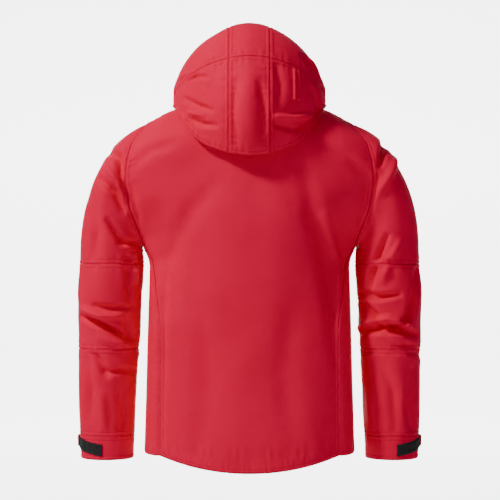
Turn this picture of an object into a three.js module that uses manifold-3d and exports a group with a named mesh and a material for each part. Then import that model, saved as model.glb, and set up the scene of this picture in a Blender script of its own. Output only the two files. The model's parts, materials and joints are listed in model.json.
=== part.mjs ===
// Hooded hardshell jacket, millimetres, +Z up, zip side facing -Y.
// The wearer's left is +X. The origin is under the hang loop at the back of the neck.
import * as THREE from 'three';
import Module from 'manifold-3d';

const wasm = await Module();
wasm.setup();

// ---- overall sizes ----
const bodyY = -50;               // middle plane between front and back
const hemZ = -688;               // hem at the sides and front
const hemDrop = 30;              // how much lower the hem is at the centre back
const hemHalfWidth = 215;
const waistHalfWidth = 207;
const underarmHalfWidth = 225;
const underarmZ = -258;
const chestHalfWidth = 249;      // between the armhole seams at their widest
const shoulderHalfWidth = 212;   // top of the armhole seam
const backDepth = 124;           // middle plane to the back at hem and waist
const frontDepthHem = 130;
const frontDepthNeck = 97;       // at the foot of the collar
const sideSeamX = 179;           // seam between body panels and side panels
const wall = 1.6;                // three-layer fabric with its seam tape
const seamGap = 0.4;

// ---- neck, collar, hood ----
const neckHalfWidth = 78;
const collarTopBack = 74;
const collarTopFront = 38;
const collarFlare = 6;
const hoodHalfWidth = 160;
const hoodTop = 184;
const hoodDepth = 168;           // middle plane to the back of the hood
const hoodCentreHalfWidth = 41;
const hoodPivotZ = 16;
const hoodRoundness = 1.1;       // 1 is an ellipse, higher is more pointed
const napeSeamAngle = 33;        // seam between crown panels and nape panels
const brimLength = 34;

// ---- sleeves ----
const sleeveHalfDepth = 68;
const cuffHalfWidth = 55;
const cuffZ = -704;
const cuffSeamZ = -655;
const elbowTopZ = -305;
const elbowBottomZ = -478;
const tabHeight = 24;
const tabWall = 1.5;
const loopPatchWall = 1.6;

// ---- zips ----
const zipHalfWidth = 13;
const tapeWall = 1.2;
const coilWidth = 2.6;
const sliderLength = 13;
const sliderWidth = 9;
const pocketZipLength = 168;
const pocketZipZ = -528;
const pullLength = 30;

// ---- hem cord locks ----
const lockRadius = 6.5;
const lockHeight = 18;
const buttonRadius = 4.4;

// ---- colours ----
const shellRed = { color: 0xdb2a3c, roughness: 0.62, metalness: 0 };
const innerGrey = { color: 0x8f9298, roughness: 0.8, metalness: 0 };
const black = { color: 0x141416, roughness: 0.85, metalness: 0 };
const zipRed = { color: 0xb51f30, roughness: 0.5, metalness: 0 };
const metalGrey = { color: 0x3a3c40, roughness: 0.35, metalness: 0.9 };

const group = new THREE.Group();
group.name = 'hardshell_jacket';

function add(name, geometry, look) {
  const mesh = new THREE.Mesh(geometry, new THREE.MeshStandardMaterial(look));
  mesh.name = name;
  group.add(mesh);
}

const vec = (x, y, z) => new THREE.Vector3(x, y, z);
const clamp = (v, a, b) => Math.min(b, Math.max(a, v));
const lerp = (a, b, t) => a + (b - a) * t;
const rad = (deg) => deg * Math.PI / 180;

function smooth(a, b, v) {
  const t = clamp((v - a) / (b - a), 0, 1);
  return t * t * (3 - 2 * t);
}

// Value at z along a list of [z, value] stations, with straight steps between them.
function along(stations, z) {
  if (z <= stations[0][0]) return stations[0][1];
  for (let i = 1; i < stations.length; i += 1) {
    const [z1, v1] = stations[i];
    const [z0, v0] = stations[i - 1];
    if (z <= z1) return lerp(v0, v1, (z - z0) / (z1 - z0));
  }
  return stations[stations.length - 1][1];
}

// ---- closed solid made of an outer and an inner layer of the same grid ----
// grid[row][column] = { p, n }; the layers lie at the two offsets along n.
function layered(grid, outer, inner, ring = false) {
  const rows = grid.length;
  const cols = grid[0].length;
  const position = [];
  for (const offset of [outer, inner]) {
    for (const row of grid) {
      for (const { p, n } of row) {
        position.push(p.x + n.x * offset, p.y + n.y * offset, p.z + n.z * offset);
      }
    }
  }
  const at = (layer, r, c) => layer * rows * cols + r * cols + (c % cols);
  const index = [];
  const quad = (a, b, c, d) => index.push(a, b, c, a, c, d);
  const spans = ring ? cols : cols - 1;
  for (let r = 0; r < rows - 1; r += 1) {
    for (let c = 0; c < spans; c += 1) {
      quad(at(0, r, c), at(0, r, c + 1), at(0, r + 1, c + 1), at(0, r + 1, c));
      quad(at(1, r, c), at(1, r + 1, c), at(1, r + 1, c + 1), at(1, r, c + 1));
    }
  }
  for (let c = 0; c < spans; c += 1) {
    quad(at(0, 0, c), at(1, 0, c), at(1, 0, c + 1), at(0, 0, c + 1));
    const top = rows - 1;
    quad(at(0, top, c), at(0, top, c + 1), at(1, top, c + 1), at(1, top, c));
  }
  if (!ring) {
    for (let r = 0; r < rows - 1; r += 1) {
      quad(at(0, r, 0), at(0, r + 1, 0), at(1, r + 1, 0), at(1, r, 0));
      const end = cols - 1;
      quad(at(0, r, end), at(1, r, end), at(1, r + 1, end), at(0, r + 1, end));
    }
  }
  return facingOut(position, index);
}

function facingOut(position, index) {
  let volume = 0;
  const point = (i) => vec(position[3 * i], position[3 * i + 1], position[3 * i + 2]);
  for (let i = 0; i < index.length; i += 3) {
    volume += point(index[i]).dot(point(index[i + 1]).cross(point(index[i + 2])));
  }
  if (volume < 0) index.reverse();
  const geometry = new THREE.BufferGeometry();
  geometry.setAttribute('position', new THREE.Float32BufferAttribute(position, 3));
  geometry.setIndex(index);
  geometry.computeVertexNormals();
  return geometry;
}

// ---- solid joins and cuts ----
function toManifold(geometry) {
  const flat = geometry.index ? geometry.toNonIndexed() : geometry;
  const xyz = flat.getAttribute('position');
  const seen = new Map();
  const points = [];
  const triangles = [];
  for (let i = 0; i < xyz.count; i += 1) {
    const p = [xyz.getX(i), xyz.getY(i), xyz.getZ(i)];
    const key = p.map((v) => Math.round(v * 1e4)).join(',');
    if (!seen.has(key)) {
      seen.set(key, points.length / 3);
      points.push(...p);
    }
    triangles.push(seen.get(key));
  }
  const kept = [];
  for (let i = 0; i < triangles.length; i += 3) {
    const [a, b, c] = triangles.slice(i, i + 3);
    if (a !== b && b !== c && a !== c) kept.push(a, b, c);
  }
  return new wasm.Manifold(new wasm.Mesh({
    numProp: 3,
    vertProperties: new Float32Array(points),
    triVerts: new Uint32Array(kept),
  }));
}

function fromManifold(solid) {
  const mesh = solid.getMesh();
  const geometry = new THREE.BufferGeometry();
  geometry.setAttribute('position', new THREE.BufferAttribute(mesh.vertProperties, 3));
  geometry.setIndex(new THREE.BufferAttribute(mesh.triVerts, 1));
  geometry.computeVertexNormals();
  return geometry;
}

const join = (...parts) => fromManifold(parts.map(toManifold).reduce((a, b) => a.add(b)));
const cut = (whole, tool) => fromManifold(toManifold(whole).subtract(toManifold(tool)));
const box = (w, d, h) => new THREE.BoxGeometry(w, d, h);

// Places a geometry built around its own origin: right, out and up become its axes.
function placed(geometry, origin, right, out, up) {
  const frame = new THREE.Matrix4().makeBasis(right, out, up);
  frame.setPosition(origin);
  return geometry.applyMatrix4(frame);
}

// ---- the torso surface ----
const halfWidthAt = (z) => along([
  [hemZ, hemHalfWidth], [-440, waistHalfWidth + 1], [-300, waistHalfWidth - 3],
  [underarmZ, underarmHalfWidth - 5],
], z);
const seamXAt = (z) => along([
  [-430, sideSeamX], [-300, waistHalfWidth - 12], [underarmZ, underarmHalfWidth - 7],
  [-190, chestHalfWidth - 7], [-133, chestHalfWidth], [-98, chestHalfWidth - 4],
  [-60, lerp(chestHalfWidth, shoulderHalfWidth, 0.36)], [-24, shoulderHalfWidth],
], z);
const seamDepthAt = (z) => along([
  [hemZ, 84], [-430, 80], [-300, 44], [underarmZ, 38], [-190, 72], [-120, 86],
], z);
const backDepthAt = (z) => along([
  [hemZ, backDepth + 6], [-440, backDepth - 2], [-200, backDepth + 8], [-75, backDepth - 6],
], z);
const frontSlope = (frontDepthHem - frontDepthNeck) / (-45 - hemZ);
const frontDepthAt = (z) => frontDepthHem - (z - hemZ) * frontSlope;

// Height of the shoulder seam at distance x from the middle.
function ridgeAt(x) {
  const d = Math.abs(x);
  if (d < neckHalfWidth) return 16 + 16 * (d / neckHalfWidth) ** 2;
  return along([
    [neckHalfWidth, 32], [163, 7], [shoulderHalfWidth, -20], [shoulderHalfWidth + 20, -34],
  ], d);
}
const shoulderRound = (x) => lerp(110, 96, clamp(Math.abs(x) / shoulderHalfWidth, 0, 1));

// across runs 0 (middle) to 1 (side seam or armhole); rise 0 (hem) to 1 (start of the
// shoulder curve) to 2 (shoulder seam or neckline). side is +1 back, -1 front.
function torsoPoint(across, rise, side) {
  const s = Math.abs(across);
  const sign = Math.sign(across) || 1;
  const first = side > 0 ? 0 : zipHalfWidth;
  const topX = first + s * (shoulderHalfWidth - first);
  const ridge = ridgeAt(topX);
  const round = shoulderRound(topX);
  const drop = side > 0 ? hemDrop * (1 - s * s) : 0;
  const edgeRidge = ridgeAt(shoulderHalfWidth);
  const edgeRound = shoulderRound(shoulderHalfWidth);
  const neck = clamp(topX / neckHalfWidth, 0, 1);
  const neckAngle = side > 0 ? lerp(58, 89.8, neck ** 2) : lerp(25, 89.8, neck ** 2);
  const angle = rad(neckAngle) * clamp(rise - 1, 0, 1);
  const edgeAngle = rad(89.8) * clamp(rise - 1, 0, 1);
  const low = clamp(rise, 0, 1);
  const edgeZ = lerp(hemZ, edgeRidge - edgeRound, low) + edgeRound * Math.sin(edgeAngle);
  const z = lerp(hemZ - drop, ridge - round, low) + round * Math.sin(angle);
  const edgeX = seamXAt(edgeZ);
  const x = first + s * (edgeX - first);
  const flat = 1 - (x / edgeX) ** 2.6;
  const depth = side > 0 ? backDepthAt(z) : frontDepthAt(z);
  const edge = seamDepthAt(edgeZ);
  const full = edge + (depth - edge) * flat;
  const turn = side > 0 ? 1 : smooth(zipHalfWidth, 62, x);
  const y = full * (1 - (1 - Math.cos(angle)) * turn);
  return vec(sign * x, bodyY + side * y, z);
}

// Direction out of the torso at a point on it.
function torsoOut(p) {
  const start = ridgeAt(p.x) - shoulderRound(p.x);
  const up = clamp((p.z - start) / shoulderRound(p.x), 0, 1);
  const flat = vec(p.x / 215 ** 2, (p.y - bodyY) / 122 ** 2, 0).normalize();
  return flat.multiplyScalar(Math.sqrt(1 - up * up)).add(vec(0, 0, up)).normalize();
}

const riseSteps = [0, 0.062, 0.15, 0.27, 0.4, 0.53, 0.64, 0.715, 0.85, 1,
  1.2, 1.4, 1.6, 1.8, 2];
const underarmStep = 7;
const backSteps = [0, 0.13, 0.25, 0.368, 0.5, 0.66, 0.82, 0.93, 1];
const frontSteps = [0, 0.09, 0.2, 0.3266, 0.42, 0.525, 0.74, 0.88, 1];

// The rows follow the underarm exactly where the armhole starts.
const edgeStartZ = ridgeAt(shoulderHalfWidth) - shoulderRound(shoulderHalfWidth);
riseSteps[underarmStep] = (underarmZ - hemZ) / (edgeStartZ - hemZ);

function cloth(p) {
  return { p, n: torsoOut(p) };
}

// Trims a panel's own edge back by half the seam gap.
const trimmed = (steps) => steps.map((s) => (s === 1 ? 1 - seamGap / 220 : s));

const backColumns = [...backSteps.slice(1).reverse().map((s) => -s), ...backSteps];
const backGrid = riseSteps.map((rise) => backColumns.map((s) => {
  const across = Math.abs(s) === 1 ? s * (1 - seamGap / 220) : s;
  return cloth(torsoPoint(across, Math.min(rise, 1.998), 1));
}));
add('back_panel', layered(backGrid, 0, -wall), shellRed);

// ---- hand pocket place on a front panel ----
function pocketFrame(sign) {
  const middleOf = (row) => frontPoint(sign, 5, row).lerp(frontPoint(sign, 6, row), 0.5);
  const across = frontPoint(sign, 6, 3).sub(frontPoint(sign, 5, 3)).normalize();
  const up = middleOf(4).sub(middleOf(1)).normalize();
  const out = up.clone().cross(across).normalize();
  if (out.y > 0) out.negate();
  const right = out.clone().cross(up).normalize();
  const start = middleOf(1);
  const origin = start.addScaledVector(up, (pocketZipZ - start.z) / up.z);
  return { origin, right, out, up };
}

function frontPoint(sign, column, row) {
  return torsoPoint(sign * frontSteps[column], riseSteps[row], -1);
}

function frontPanel(sign) {
  const steps = trimmed(frontSteps);
  const grid = riseSteps.map((rise) => steps.map((s) => {
    const p = torsoPoint(sign * Math.max(s, 1e-6), Math.min(rise, 1.998), -1);
    return cloth(p);
  }));
  const panel = layered(grid, 0, -wall);
  const at = pocketFrame(sign);
  const slit = placed(box(7, 12, pocketZipLength - 8), at.origin, at.right, at.out, at.up);
  return cut(panel, slit);
}
add('left_front_panel', frontPanel(1), shellRed);
add('right_front_panel', frontPanel(-1), shellRed);

// ---- side panels: from the back seam round to the front seam ----
const sideTurns = [90, 66, 40, 14, -14, -40, -66, -90];
function sidePoint(sign, turn, rise) {
  const across = 1 + seamGap / 220;
  const back = torsoPoint(1, rise, 1);
  const z = back.z;
  const edgeX = Math.abs(back.x) * across;
  const depth = seamDepthAt(z);
  const width = Math.max(halfWidthAt(z), edgeX + 2);
  const x = edgeX + (width - edgeX) * Math.cos(rad(turn));
  const y = depth * Math.sin(rad(turn)) * (1 - seamGap / 180);
  const lowered = rise >= riseSteps[underarmStep] ? -6 * Math.cos(rad(turn)) : 0;
  return vec(sign * x, bodyY + y, z + lowered);
}
for (const [name, sign] of [['left', 1], ['right', -1]]) {
  const grid = riseSteps.slice(0, underarmStep + 1).map((rise) => sideTurns.map((turn) => (
    cloth(sidePoint(sign, turn, rise))
  )));
  add(`${name}_side_panel`, layered(grid, 0, -wall), shellRed);
}

function between(a, b, share) {
  return { p: a.p.clone().lerp(b.p, share), n: a.n.clone().lerp(b.n, share).normalize() };
}

// ---- hem facing: one strip inside the hem from zip edge to zip edge ----
function hemRow(rise) {
  const half = (sign) => [
    ...trimmed(frontSteps).slice(0, -1).map((s) => torsoPoint(sign * Math.max(s, 1e-6), rise, -1)),
    ...sideTurns.slice().reverse().map((turn) => sidePoint(sign, turn, rise)),
  ];
  const back = backColumns.slice(1, -1).reverse().map((s) => torsoPoint(s, rise, 1));
  return [...half(1), ...back, ...half(-1).reverse()].map(cloth);
}
const facingOffset = wall + seamGap;
add('hem_facing', layered([hemRow(0.005), hemRow(0.058)], -facingOffset, -facingOffset - 1.2),
  innerGrey);

// ---- collar: columns from the left zip edge round the neck to the right zip edge ----
const collarTurns = [
  [0, -1], [frontSteps[1], -1], [frontSteps[2], -1],
  [0.368, 1], [0.25, 1], [0.13, 1], [0, 1], [-0.13, 1], [-0.25, 1], [-0.368, 1],
  [-frontSteps[2], -1], [-frontSteps[1], -1], [-1e-6, -1],
];
const zipPoint = (x, z) => vec(x, bodyY - frontDepthAt(z), z);
function collarPoint(column, height) {
  const [across, side] = collarTurns[column];
  const base = torsoPoint(across, 1.998, side);
  base.z += 0.5;
  const n = vec(base.x / neckHalfWidth ** 2, (base.y - bodyY) / 84 ** 2, 0).normalize();
  const topZ = lerp(collarTopFront, collarTopBack, smooth(-1, 1, n.y));
  const p = base.clone();
  p.z = lerp(base.z, topZ, height);
  if (side < 0) {
    const lean = (frontDepthAt(base.z) - frontDepthAt(p.z)) * Math.max(0, -n.y);
    p.y += lean;
    if (Math.abs(base.x) < zipHalfWidth + 1) p.y = bodyY - frontDepthAt(p.z);
  } else {
    p.addScaledVector(n, collarFlare * height * Math.abs(n.y) ** 0.5 * Math.sign(Math.max(n.y, 0)));
  }
  return { p, n };
}
const collarRow = (height) => collarTurns.map((_, column) => collarPoint(column, height));
add('collar', layered([0, 0.35, 0.7, 1].map(collarRow), 0, -wall), shellRed);
const liningOffset = wall + seamGap;
const liningWall = 1.2;
add('collar_lining', layered([0.04, 0.35, 0.7, 0.97].map(collarRow),
  -liningOffset, -liningOffset - liningWall), innerGrey);
const collarTopZ = collarPoint(0, 1).p.z;

// ---- hang loop: a strip sewn at both ends to the lining, standing off in the middle ----
const loopSeat = liningOffset + liningWall + 0.3;
const loopHeight = 9;
function loopColumn(x, column, share, lift) {
  const near = collarPoint(column, 0.06);
  const far = collarPoint(x > 0 ? column - 1 : column + 1, 0.06);
  const p = near.p.clone().lerp(far.p, share);
  const n = near.n.clone().lerp(far.n, share).normalize();
  p.z = lift;
  return { p, n };
}
const loopMiddle = (x, lift) => ({ p: vec(x, loopSeat + 0.6, lift), n: vec(0, 1, 0) });
const loopRow = (up) => [
  loopColumn(1, 5, 0.3, 14 + up), loopColumn(1, 5, 0.02, 11 + up), loopMiddle(17, 4 + up),
  loopMiddle(8, 0.5 + up), loopMiddle(0, up), loopMiddle(-8, 0.5 + up), loopMiddle(-17, 4 + up),
  loopColumn(-1, 7, 0.02, 11 + up), loopColumn(-1, 7, 0.3, 14 + up),
];
add('hang_loop', layered([loopRow(0), loopRow(loopHeight)], -loopSeat, -loopSeat - 1.2), black);

// ---- front zip ----
const zipUp = vec(0, frontSlope, 1).normalize();
const zipOut = vec(0, -1, frontSlope).normalize();
const zipRight = zipOut.clone().cross(zipUp);
const zipBottomZ = hemZ + 3;
const zipLength = (collarTopZ - 2 - zipBottomZ) / zipUp.z;
const onZip = (geometry, z) => placed(geometry, zipPoint(0, z), zipRight, zipOut, zipUp);
const zipMiddleZ = (collarTopZ - 2 + zipBottomZ) / 2;
const slotHalf = 0.7;
const tapeWidth = zipHalfWidth - seamGap - slotHalf;
for (const [name, side] of [['left', -1], ['right', 1]]) {
  const tape = box(tapeWidth, tapeWall, zipLength);
  tape.translate(side * (slotHalf + tapeWidth / 2), -tapeWall / 2, 0);
  add(`${name}_zip_tape`, onZip(tape, zipMiddleZ), zipRed);
  const coil = box(coilWidth, 2.2, zipLength - 6);
  coil.translate(side * (slotHalf + coilWidth / 2), -tapeWall - 0.3 - 1.1, 0);
  add(`${name}_zip_coil`, onZip(coil, zipMiddleZ), black);
}

// A slider in its own axes: x across, y outwards, z up; the pull hangs from its bail.
const bailOut = 4.8;
function sliderBody(width, depthBehind) {
  const front = box(width, 1.8, sliderLength).translate(0, 0.4 + 0.9, 0);
  const post = box(0.8, depthBehind + 1.6, 5).translate(0, (1 - depthBehind) / 2, 2);
  const back = box(width - 2, 1.4, sliderLength - 2).translate(0, -depthBehind - 0.6, 0);
  const lug = (x) => box(1.2, 4.6, 4).translate(x, 1.6 + 2.1, 3);
  const bar = new THREE.CylinderGeometry(0.8, 0.8, 6.4, 10).rotateZ(Math.PI / 2);
  bar.translate(0, bailOut, 3);
  return join(front, post, back, lug(3.1), lug(-3.1), bar);
}
function pullTab() {
  const eye = new THREE.CylinderGeometry(2, 2, 4.2, 14).rotateZ(Math.PI / 2);
  const hole = new THREE.CylinderGeometry(1.15, 1.15, 8, 12).rotateZ(Math.PI / 2);
  const outline = new THREE.Shape();
  outline.moveTo(-1.7, -1);
  outline.lineTo(1.7, -1);
  outline.lineTo(3.2, -pullLength + 4);
  outline.quadraticCurveTo(3.2, -pullLength, 0, -pullLength);
  outline.quadraticCurveTo(-3.2, -pullLength, -3.2, -pullLength + 4);
  outline.closePath();
  const blade = new THREE.ExtrudeGeometry(outline, {
    depth: 1.4, bevelEnabled: false, curveSegments: 4,
  });
  blade.rotateX(Math.PI / 2);
  blade.translate(0, 0.7, 0);
  const whole = toManifold(eye).add(toManifold(blade)).subtract(toManifold(hole));
  return fromManifold(whole).translate(0, bailOut, 3);
}
const sliderZ = collarTopZ - 22;
add('zip_slider', onZip(sliderBody(sliderWidth, 4.1), sliderZ), metalGrey);
add('zip_pull', onZip(pullTab(), sliderZ), black);
add('zip_bottom_box', onZip(box(10, 2, 8).translate(0, 1.3, 0), hemZ + 9), metalGrey);
add('zip_garage', onZip(box(18, 2.6, 11).translate(0, 1.7, 0), collarTopZ - 8), shellRed);

// ---- storm flap behind the zip, sewn along its right edge ----
const flapGap = 0.75;            // between the flap and the collar lining
const flapBase = liningOffset + liningWall + flapGap;
function flapRow(edge, next) {
  const p = edge.p.clone().lerp(next.p, 0.7);
  const n = edge.n.clone().lerp(next.n, 0.7).normalize();
  const behind = (x) => ({
    p: zipPoint(x, edge.p.z).addScaledVector(zipOut, -3.4),
    n: zipOut,
  });
  return [{ p, n }, edge, behind(-9.5), behind(0), behind(17)];
}
const flapRows = riseSteps.slice(1).map((rise) => flapRow(
  cloth(torsoPoint(-1e-6, Math.min(rise, 1.998), -1)),
  cloth(torsoPoint(-frontSteps[1], Math.min(rise, 1.998), -1)),
));
for (const height of [0.35, 0.7, 0.96]) {
  flapRows.push(flapRow(collarPoint(12, height), collarPoint(11, height)));
}
add('storm_flap', layered(flapRows, -flapBase, -flapBase - 1.2), innerGrey);

// ---- hand pockets ----
for (const [name, sign] of [['left', 1], ['right', -1]]) {
  const { origin, right, out, up } = pocketFrame(sign);
  const at = (geometry) => placed(geometry, origin.clone(), right, out, up);
  const tape = cut(box(14, tapeWall, pocketZipLength).translate(0, 0.5 + tapeWall / 2, 0),
    box(1.4, 6, pocketZipLength - 12));
  add(`${name}_pocket_zip`, at(tape), zipRed);
  const startZ = pocketZipLength / 2 - 14;
  const body = sliderBody(7, 1.7).translate(0, 1.7, startZ);
  add(`${name}_pocket_slider`, at(body), metalGrey);
  add(`${name}_pocket_pull`, at(pullTab().translate(0, 1.7, startZ)), black);
  const bagRow = (place) => [2, 3, 4, 5, 6].map((column) => {
    const row = Math.floor(place);
    return between(cloth(frontPoint(sign, column, row)),
      cloth(frontPoint(sign, column, row + 1)), place - row);
  });
  add(`${name}_pocket_bag`, layered([1.2, 2, 3, 4, 4.4].map(bagRow),
    -wall - seamGap - 0.3, -wall - seamGap - 2.7), innerGrey);
}

// ---- hem cord locks, upright against the facing inside each front ----
for (const [name, sign] of [['left', 1], ['right', -1]]) {
  const low = frontPoint(sign, 5, 0).lerp(frontPoint(sign, 6, 0), 0.5);
  const high = frontPoint(sign, 5, 1).lerp(frontPoint(sign, 6, 1), 0.5);
  const across = frontPoint(sign, 6, 0).sub(frontPoint(sign, 5, 0)).normalize();
  const up = high.clone().sub(low).normalize();
  const out = up.clone().cross(across).normalize();
  if (out.y > 0) out.negate();
  const right = out.clone().cross(up).normalize();
  const seat = facingOffset + 1.2 + 0.4 + lockRadius;
  const foot = low.addScaledVector(up, 6).addScaledVector(out, -seat);
  const at = (geometry) => placed(geometry, foot.clone(), right, out, up);
  const post = (radius, height, z) => new THREE.CylinderGeometry(radius, radius, height, 20)
    .rotateX(Math.PI / 2).translate(0, 0, z + height / 2);
  const body = cut(post(lockRadius, lockHeight, 0), post(buttonRadius + 0.35, 12, lockHeight - 11));
  const cordHole = post(1.8, 30, -15).rotateY(Math.PI / 2).translate(0, 0, 3.6);
  add(`${name}_hem_lock`, at(cut(body, cordHole)), black);
  add(`${name}_hem_lock_button`, at(post(buttonRadius, 12, lockHeight - 6)), black);
}

// ---- sleeves: rings whose columns follow the armhole, top first, then down the back ----
const armholeZ = -140;           // middle of the armhole opening
const sleeveTopZ = -280;         // where the sleeve hangs straight
const sleeveX = (z) => along([
  [cuffZ, 293], [-600, 293], [-440, 288], [-359, 287], [elbowTopZ, 281.5], [sleeveTopZ, 282.5],
], z);
const sleeveHalfWidth = (z) => along([
  [cuffZ, cuffHalfWidth - 1], [cuffSeamZ, cuffHalfWidth + 1], [-600, cuffHalfWidth + 3],
  [-520, cuffHalfWidth + 5], [-440, 63], [-359, 66], [elbowTopZ, 66], [sleeveTopZ, 64],
], z);
const sleeveY = (z) => bodyY + along([
  [cuffZ, -20], [-600, -18], [-520, -14], [-440, -8], [-359, -2], [sleeveTopZ, 0],
], z);
const sleeveDepth = (z) => along([
  [cuffZ, cuffHalfWidth], [-600, cuffHalfWidth + 3], [-440, sleeveHalfDepth - 4],
  [-359, sleeveHalfDepth],
], z);

const armholeRises = riseSteps.slice(underarmStep, -1);
function armhole(sign) {
  const down = armholeRises.slice().reverse();
  const points = [
    torsoPoint(sign, 2, 1),
    ...down.map((rise) => torsoPoint(sign, rise, 1)),
    ...sideTurns.slice(1, -1).map((turn) => sidePoint(sign, turn, riseSteps[underarmStep])),
    ...armholeRises.map((rise) => torsoPoint(sign, rise, -1)),
  ];
  points.forEach((p) => { p.x += sign * (seamGap + 0.3); });
  return points;
}
const armholeAngles = armhole(1).map((p) => Math.atan2(p.y - bodyY, p.z - armholeZ));

function sleevePoint(sign, column, z) {
  const angle = armholeAngles[column];
  const c = Math.cos(angle);
  const s = Math.sin(angle);
  const halfWidth = sleeveHalfWidth(z);
  const depth = sleeveDepth(z);
  const p = vec(sign * (sleeveX(z) + halfWidth * c), sleeveY(z) + depth * s, z);
  return { p, n: vec(sign * c / halfWidth, s / depth, 0).normalize() };
}

// Sleeve head: each column curves from the armhole over to the hanging sleeve.
function headPoint(sign, start, column, t) {
  const end = sleevePoint(sign, column, sleeveTopZ);
  const angle = armholeAngles[column];
  const under = Math.max(0, -Math.cos(angle));
  const reach = start.distanceTo(end.p) * 0.34;
  const leave = vec(sign * lerp(1, 0.25, under), 0, -0.35 - under * 0.6).normalize();
  const a = start.clone().addScaledVector(leave, reach);
  const b = end.p.clone().add(vec(0, 0, reach));
  const p = new THREE.CubicBezierCurve3(start, a, b, end.p).getPoint(t);
  const ring = vec(-sign * 0.8 * under, Math.sin(angle), Math.cos(angle) * (1 - 0.4 * under));
  const lift = vec(0, 0, 0.5 * (1 - t) * Math.max(0, Math.cos(angle)));
  return { p, n: ring.lerp(end.n, t).add(lift).normalize() };
}
const headSteps = [0, 0.16, 0.32, 0.49, 0.66];
const upperSteps = [0.66, 0.83, 1];

function sleeveRow(sign, z) {
  return armholeAngles.map((_, column) => sleevePoint(sign, column, z));
}
function headRow(sign, t, shift) {
  const starts = armhole(sign);
  return starts.map((start, column) => {
    const here = headPoint(sign, start, column, t);
    const ahead = headPoint(sign, start, column, Math.min(t + 0.02, 1));
    here.p.addScaledVector(ahead.p.sub(here.p).normalize(), t < 1 ? shift : 0);
    return here;
  });
}
function tube(name, rows, look) {
  add(name, layered(rows, 0, -wall, true), look);
}

// A point on the cuff at a column place that may lie between two columns.
function onCuff(sign, place, z) {
  const count = armholeAngles.length;
  const wrapped = (place + 2 * count) % count;
  const column = Math.floor(wrapped);
  const corner = (c, height) => sleevePoint(sign, c % count, height);
  const level = (z - cuffZ) / (cuffSeamZ - 0.5 - cuffZ);
  const low = between(corner(column, cuffZ), corner(column + 1, cuffZ), wrapped - column);
  const high = between(corner(column, cuffSeamZ - 0.5), corner(column + 1, cuffSeamZ - 0.5),
    wrapped - column);
  return between(low, high, level);
}
const patchMiddleZ = -670;
const loopPlaces = [-2.2, -2, -1, 0, 1, 2, 3, 4];
const tabPlaces = [-5, -4, -3.2, -2.4, -2, -1, 0, 0.12];
const hookPlaces = [-1.8, -1, 0, 0.05];
const slantAt = (place) => patchMiddleZ - 4.2 * Math.max(0, place);
const tabLift = (place) => lerp(0.5, seamGap + loopPatchWall + 1.9, smooth(-4.2, -2.4, place));

for (const [name, sign] of [['left', 1], ['right', -1]]) {
  tube(`${name}_sleeve_head`, headSteps.map((t) => headRow(sign, t, 0)), shellRed);
  tube(`${name}_upper_sleeve`, [
    ...upperSteps.map((t) => headRow(sign, t, seamGap)), sleeveRow(sign, elbowTopZ),
  ], shellRed);
  tube(`${name}_elbow_panel`, [
    sleeveRow(sign, elbowTopZ - seamGap), sleeveRow(sign, -359), sleeveRow(sign, -440),
    sleeveRow(sign, elbowBottomZ),
  ], shellRed);
  tube(`${name}_forearm`, [
    sleeveRow(sign, elbowBottomZ - seamGap), sleeveRow(sign, -520), sleeveRow(sign, -600),
    sleeveRow(sign, cuffSeamZ),
  ], shellRed);
  tube(`${name}_cuff`, [sleeveRow(sign, cuffSeamZ - 0.5), sleeveRow(sign, cuffZ)], shellRed);
  const band = (places, half, lift, slanted) => [1, -1].map((edge) => places.map((place) => {
    const z = (slanted ? slantAt(place) : patchMiddleZ) + edge * half;
    const { p, n } = onCuff(sign, place, z);
    return { p: p.addScaledVector(n, lift(place)), n };
  }));
  const half = tabHeight / 2;
  add(`${name}_cuff_loop_patch`, layered(band(loopPlaces, half - 1, () => 0, true),
    seamGap + loopPatchWall, seamGap), black);
  add(`${name}_cuff_tab`, layered(band(tabPlaces, half, tabLift, false), tabWall, 0), shellRed);
  add(`${name}_cuff_hook`, layered(band(hookPlaces, half - 3, () => 0, false),
    seamGap + loopPatchWall + 1.5, seamGap + loopPatchWall + 0.3), black);
}

// ---- hood: arches swung round a sideways axis above the shoulders ----
const torsoDepthNear = (x, side) => {
  const out = Math.min(1, Math.abs(x) / chestHalfWidth) ** 2.6;
  return side > 0 ? backDepth - 6 - 32 * out : frontDepthNeck + 2 - 13 * out;
};

// Pushes a point out of the shoulders so that it clears them by the given distance.
function clearOfShoulders(p, clearance) {
  const side = p.y > bodyY ? 1 : -1;
  const depth = torsoDepthNear(p.x, side);
  const round = shoulderRound(p.x);
  const base = ridgeAt(p.x) - round;
  const v = (p.y - bodyY) / depth;
  const w = Math.max(0, (p.z - base) / round);
  const reach = Math.hypot(v, w);
  const wanted = 1 + clearance / round;
  if (reach < wanted && reach > 0.01) {
    p.y = bodyY + v * depth * wanted / reach;
    if (w > 0) p.z = base + w * round * wanted / reach;
  }
  return p;
}
const archRadius = (angle) => along([
  [-38, 178], [-20, 165], [0, 156], [15, 155], [33, 160], [60, 171], [90, 168], [140, 180],
], angle) * (angle < 60 ? lerp(hoodDepth / 168, 1, clamp(angle / 60, 0, 1)) : 1);
function hoodPoint(angle, beta) {
  const face = smooth(88, 128, angle);
  const width = lerp(hoodHalfWidth, 116, face);
  const pivotY = bodyY + lerp(10, -52, face);
  const rise = (hoodTop - hoodPivotZ) / 168;
  const c = Math.cos(rad(beta));
  const arch = archRadius(angle) * Math.sin(rad(beta)) ** hoodRoundness;
  const p = vec(width * Math.sign(c) * Math.abs(c) ** hoodRoundness,
    pivotY + arch * Math.cos(rad(angle)), hoodPivotZ + arch * Math.sin(rad(angle)) * rise);
  return clearOfShoulders(p, 14);
}
const hoodCentre = vec(0, bodyY + 10, 30);
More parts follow.
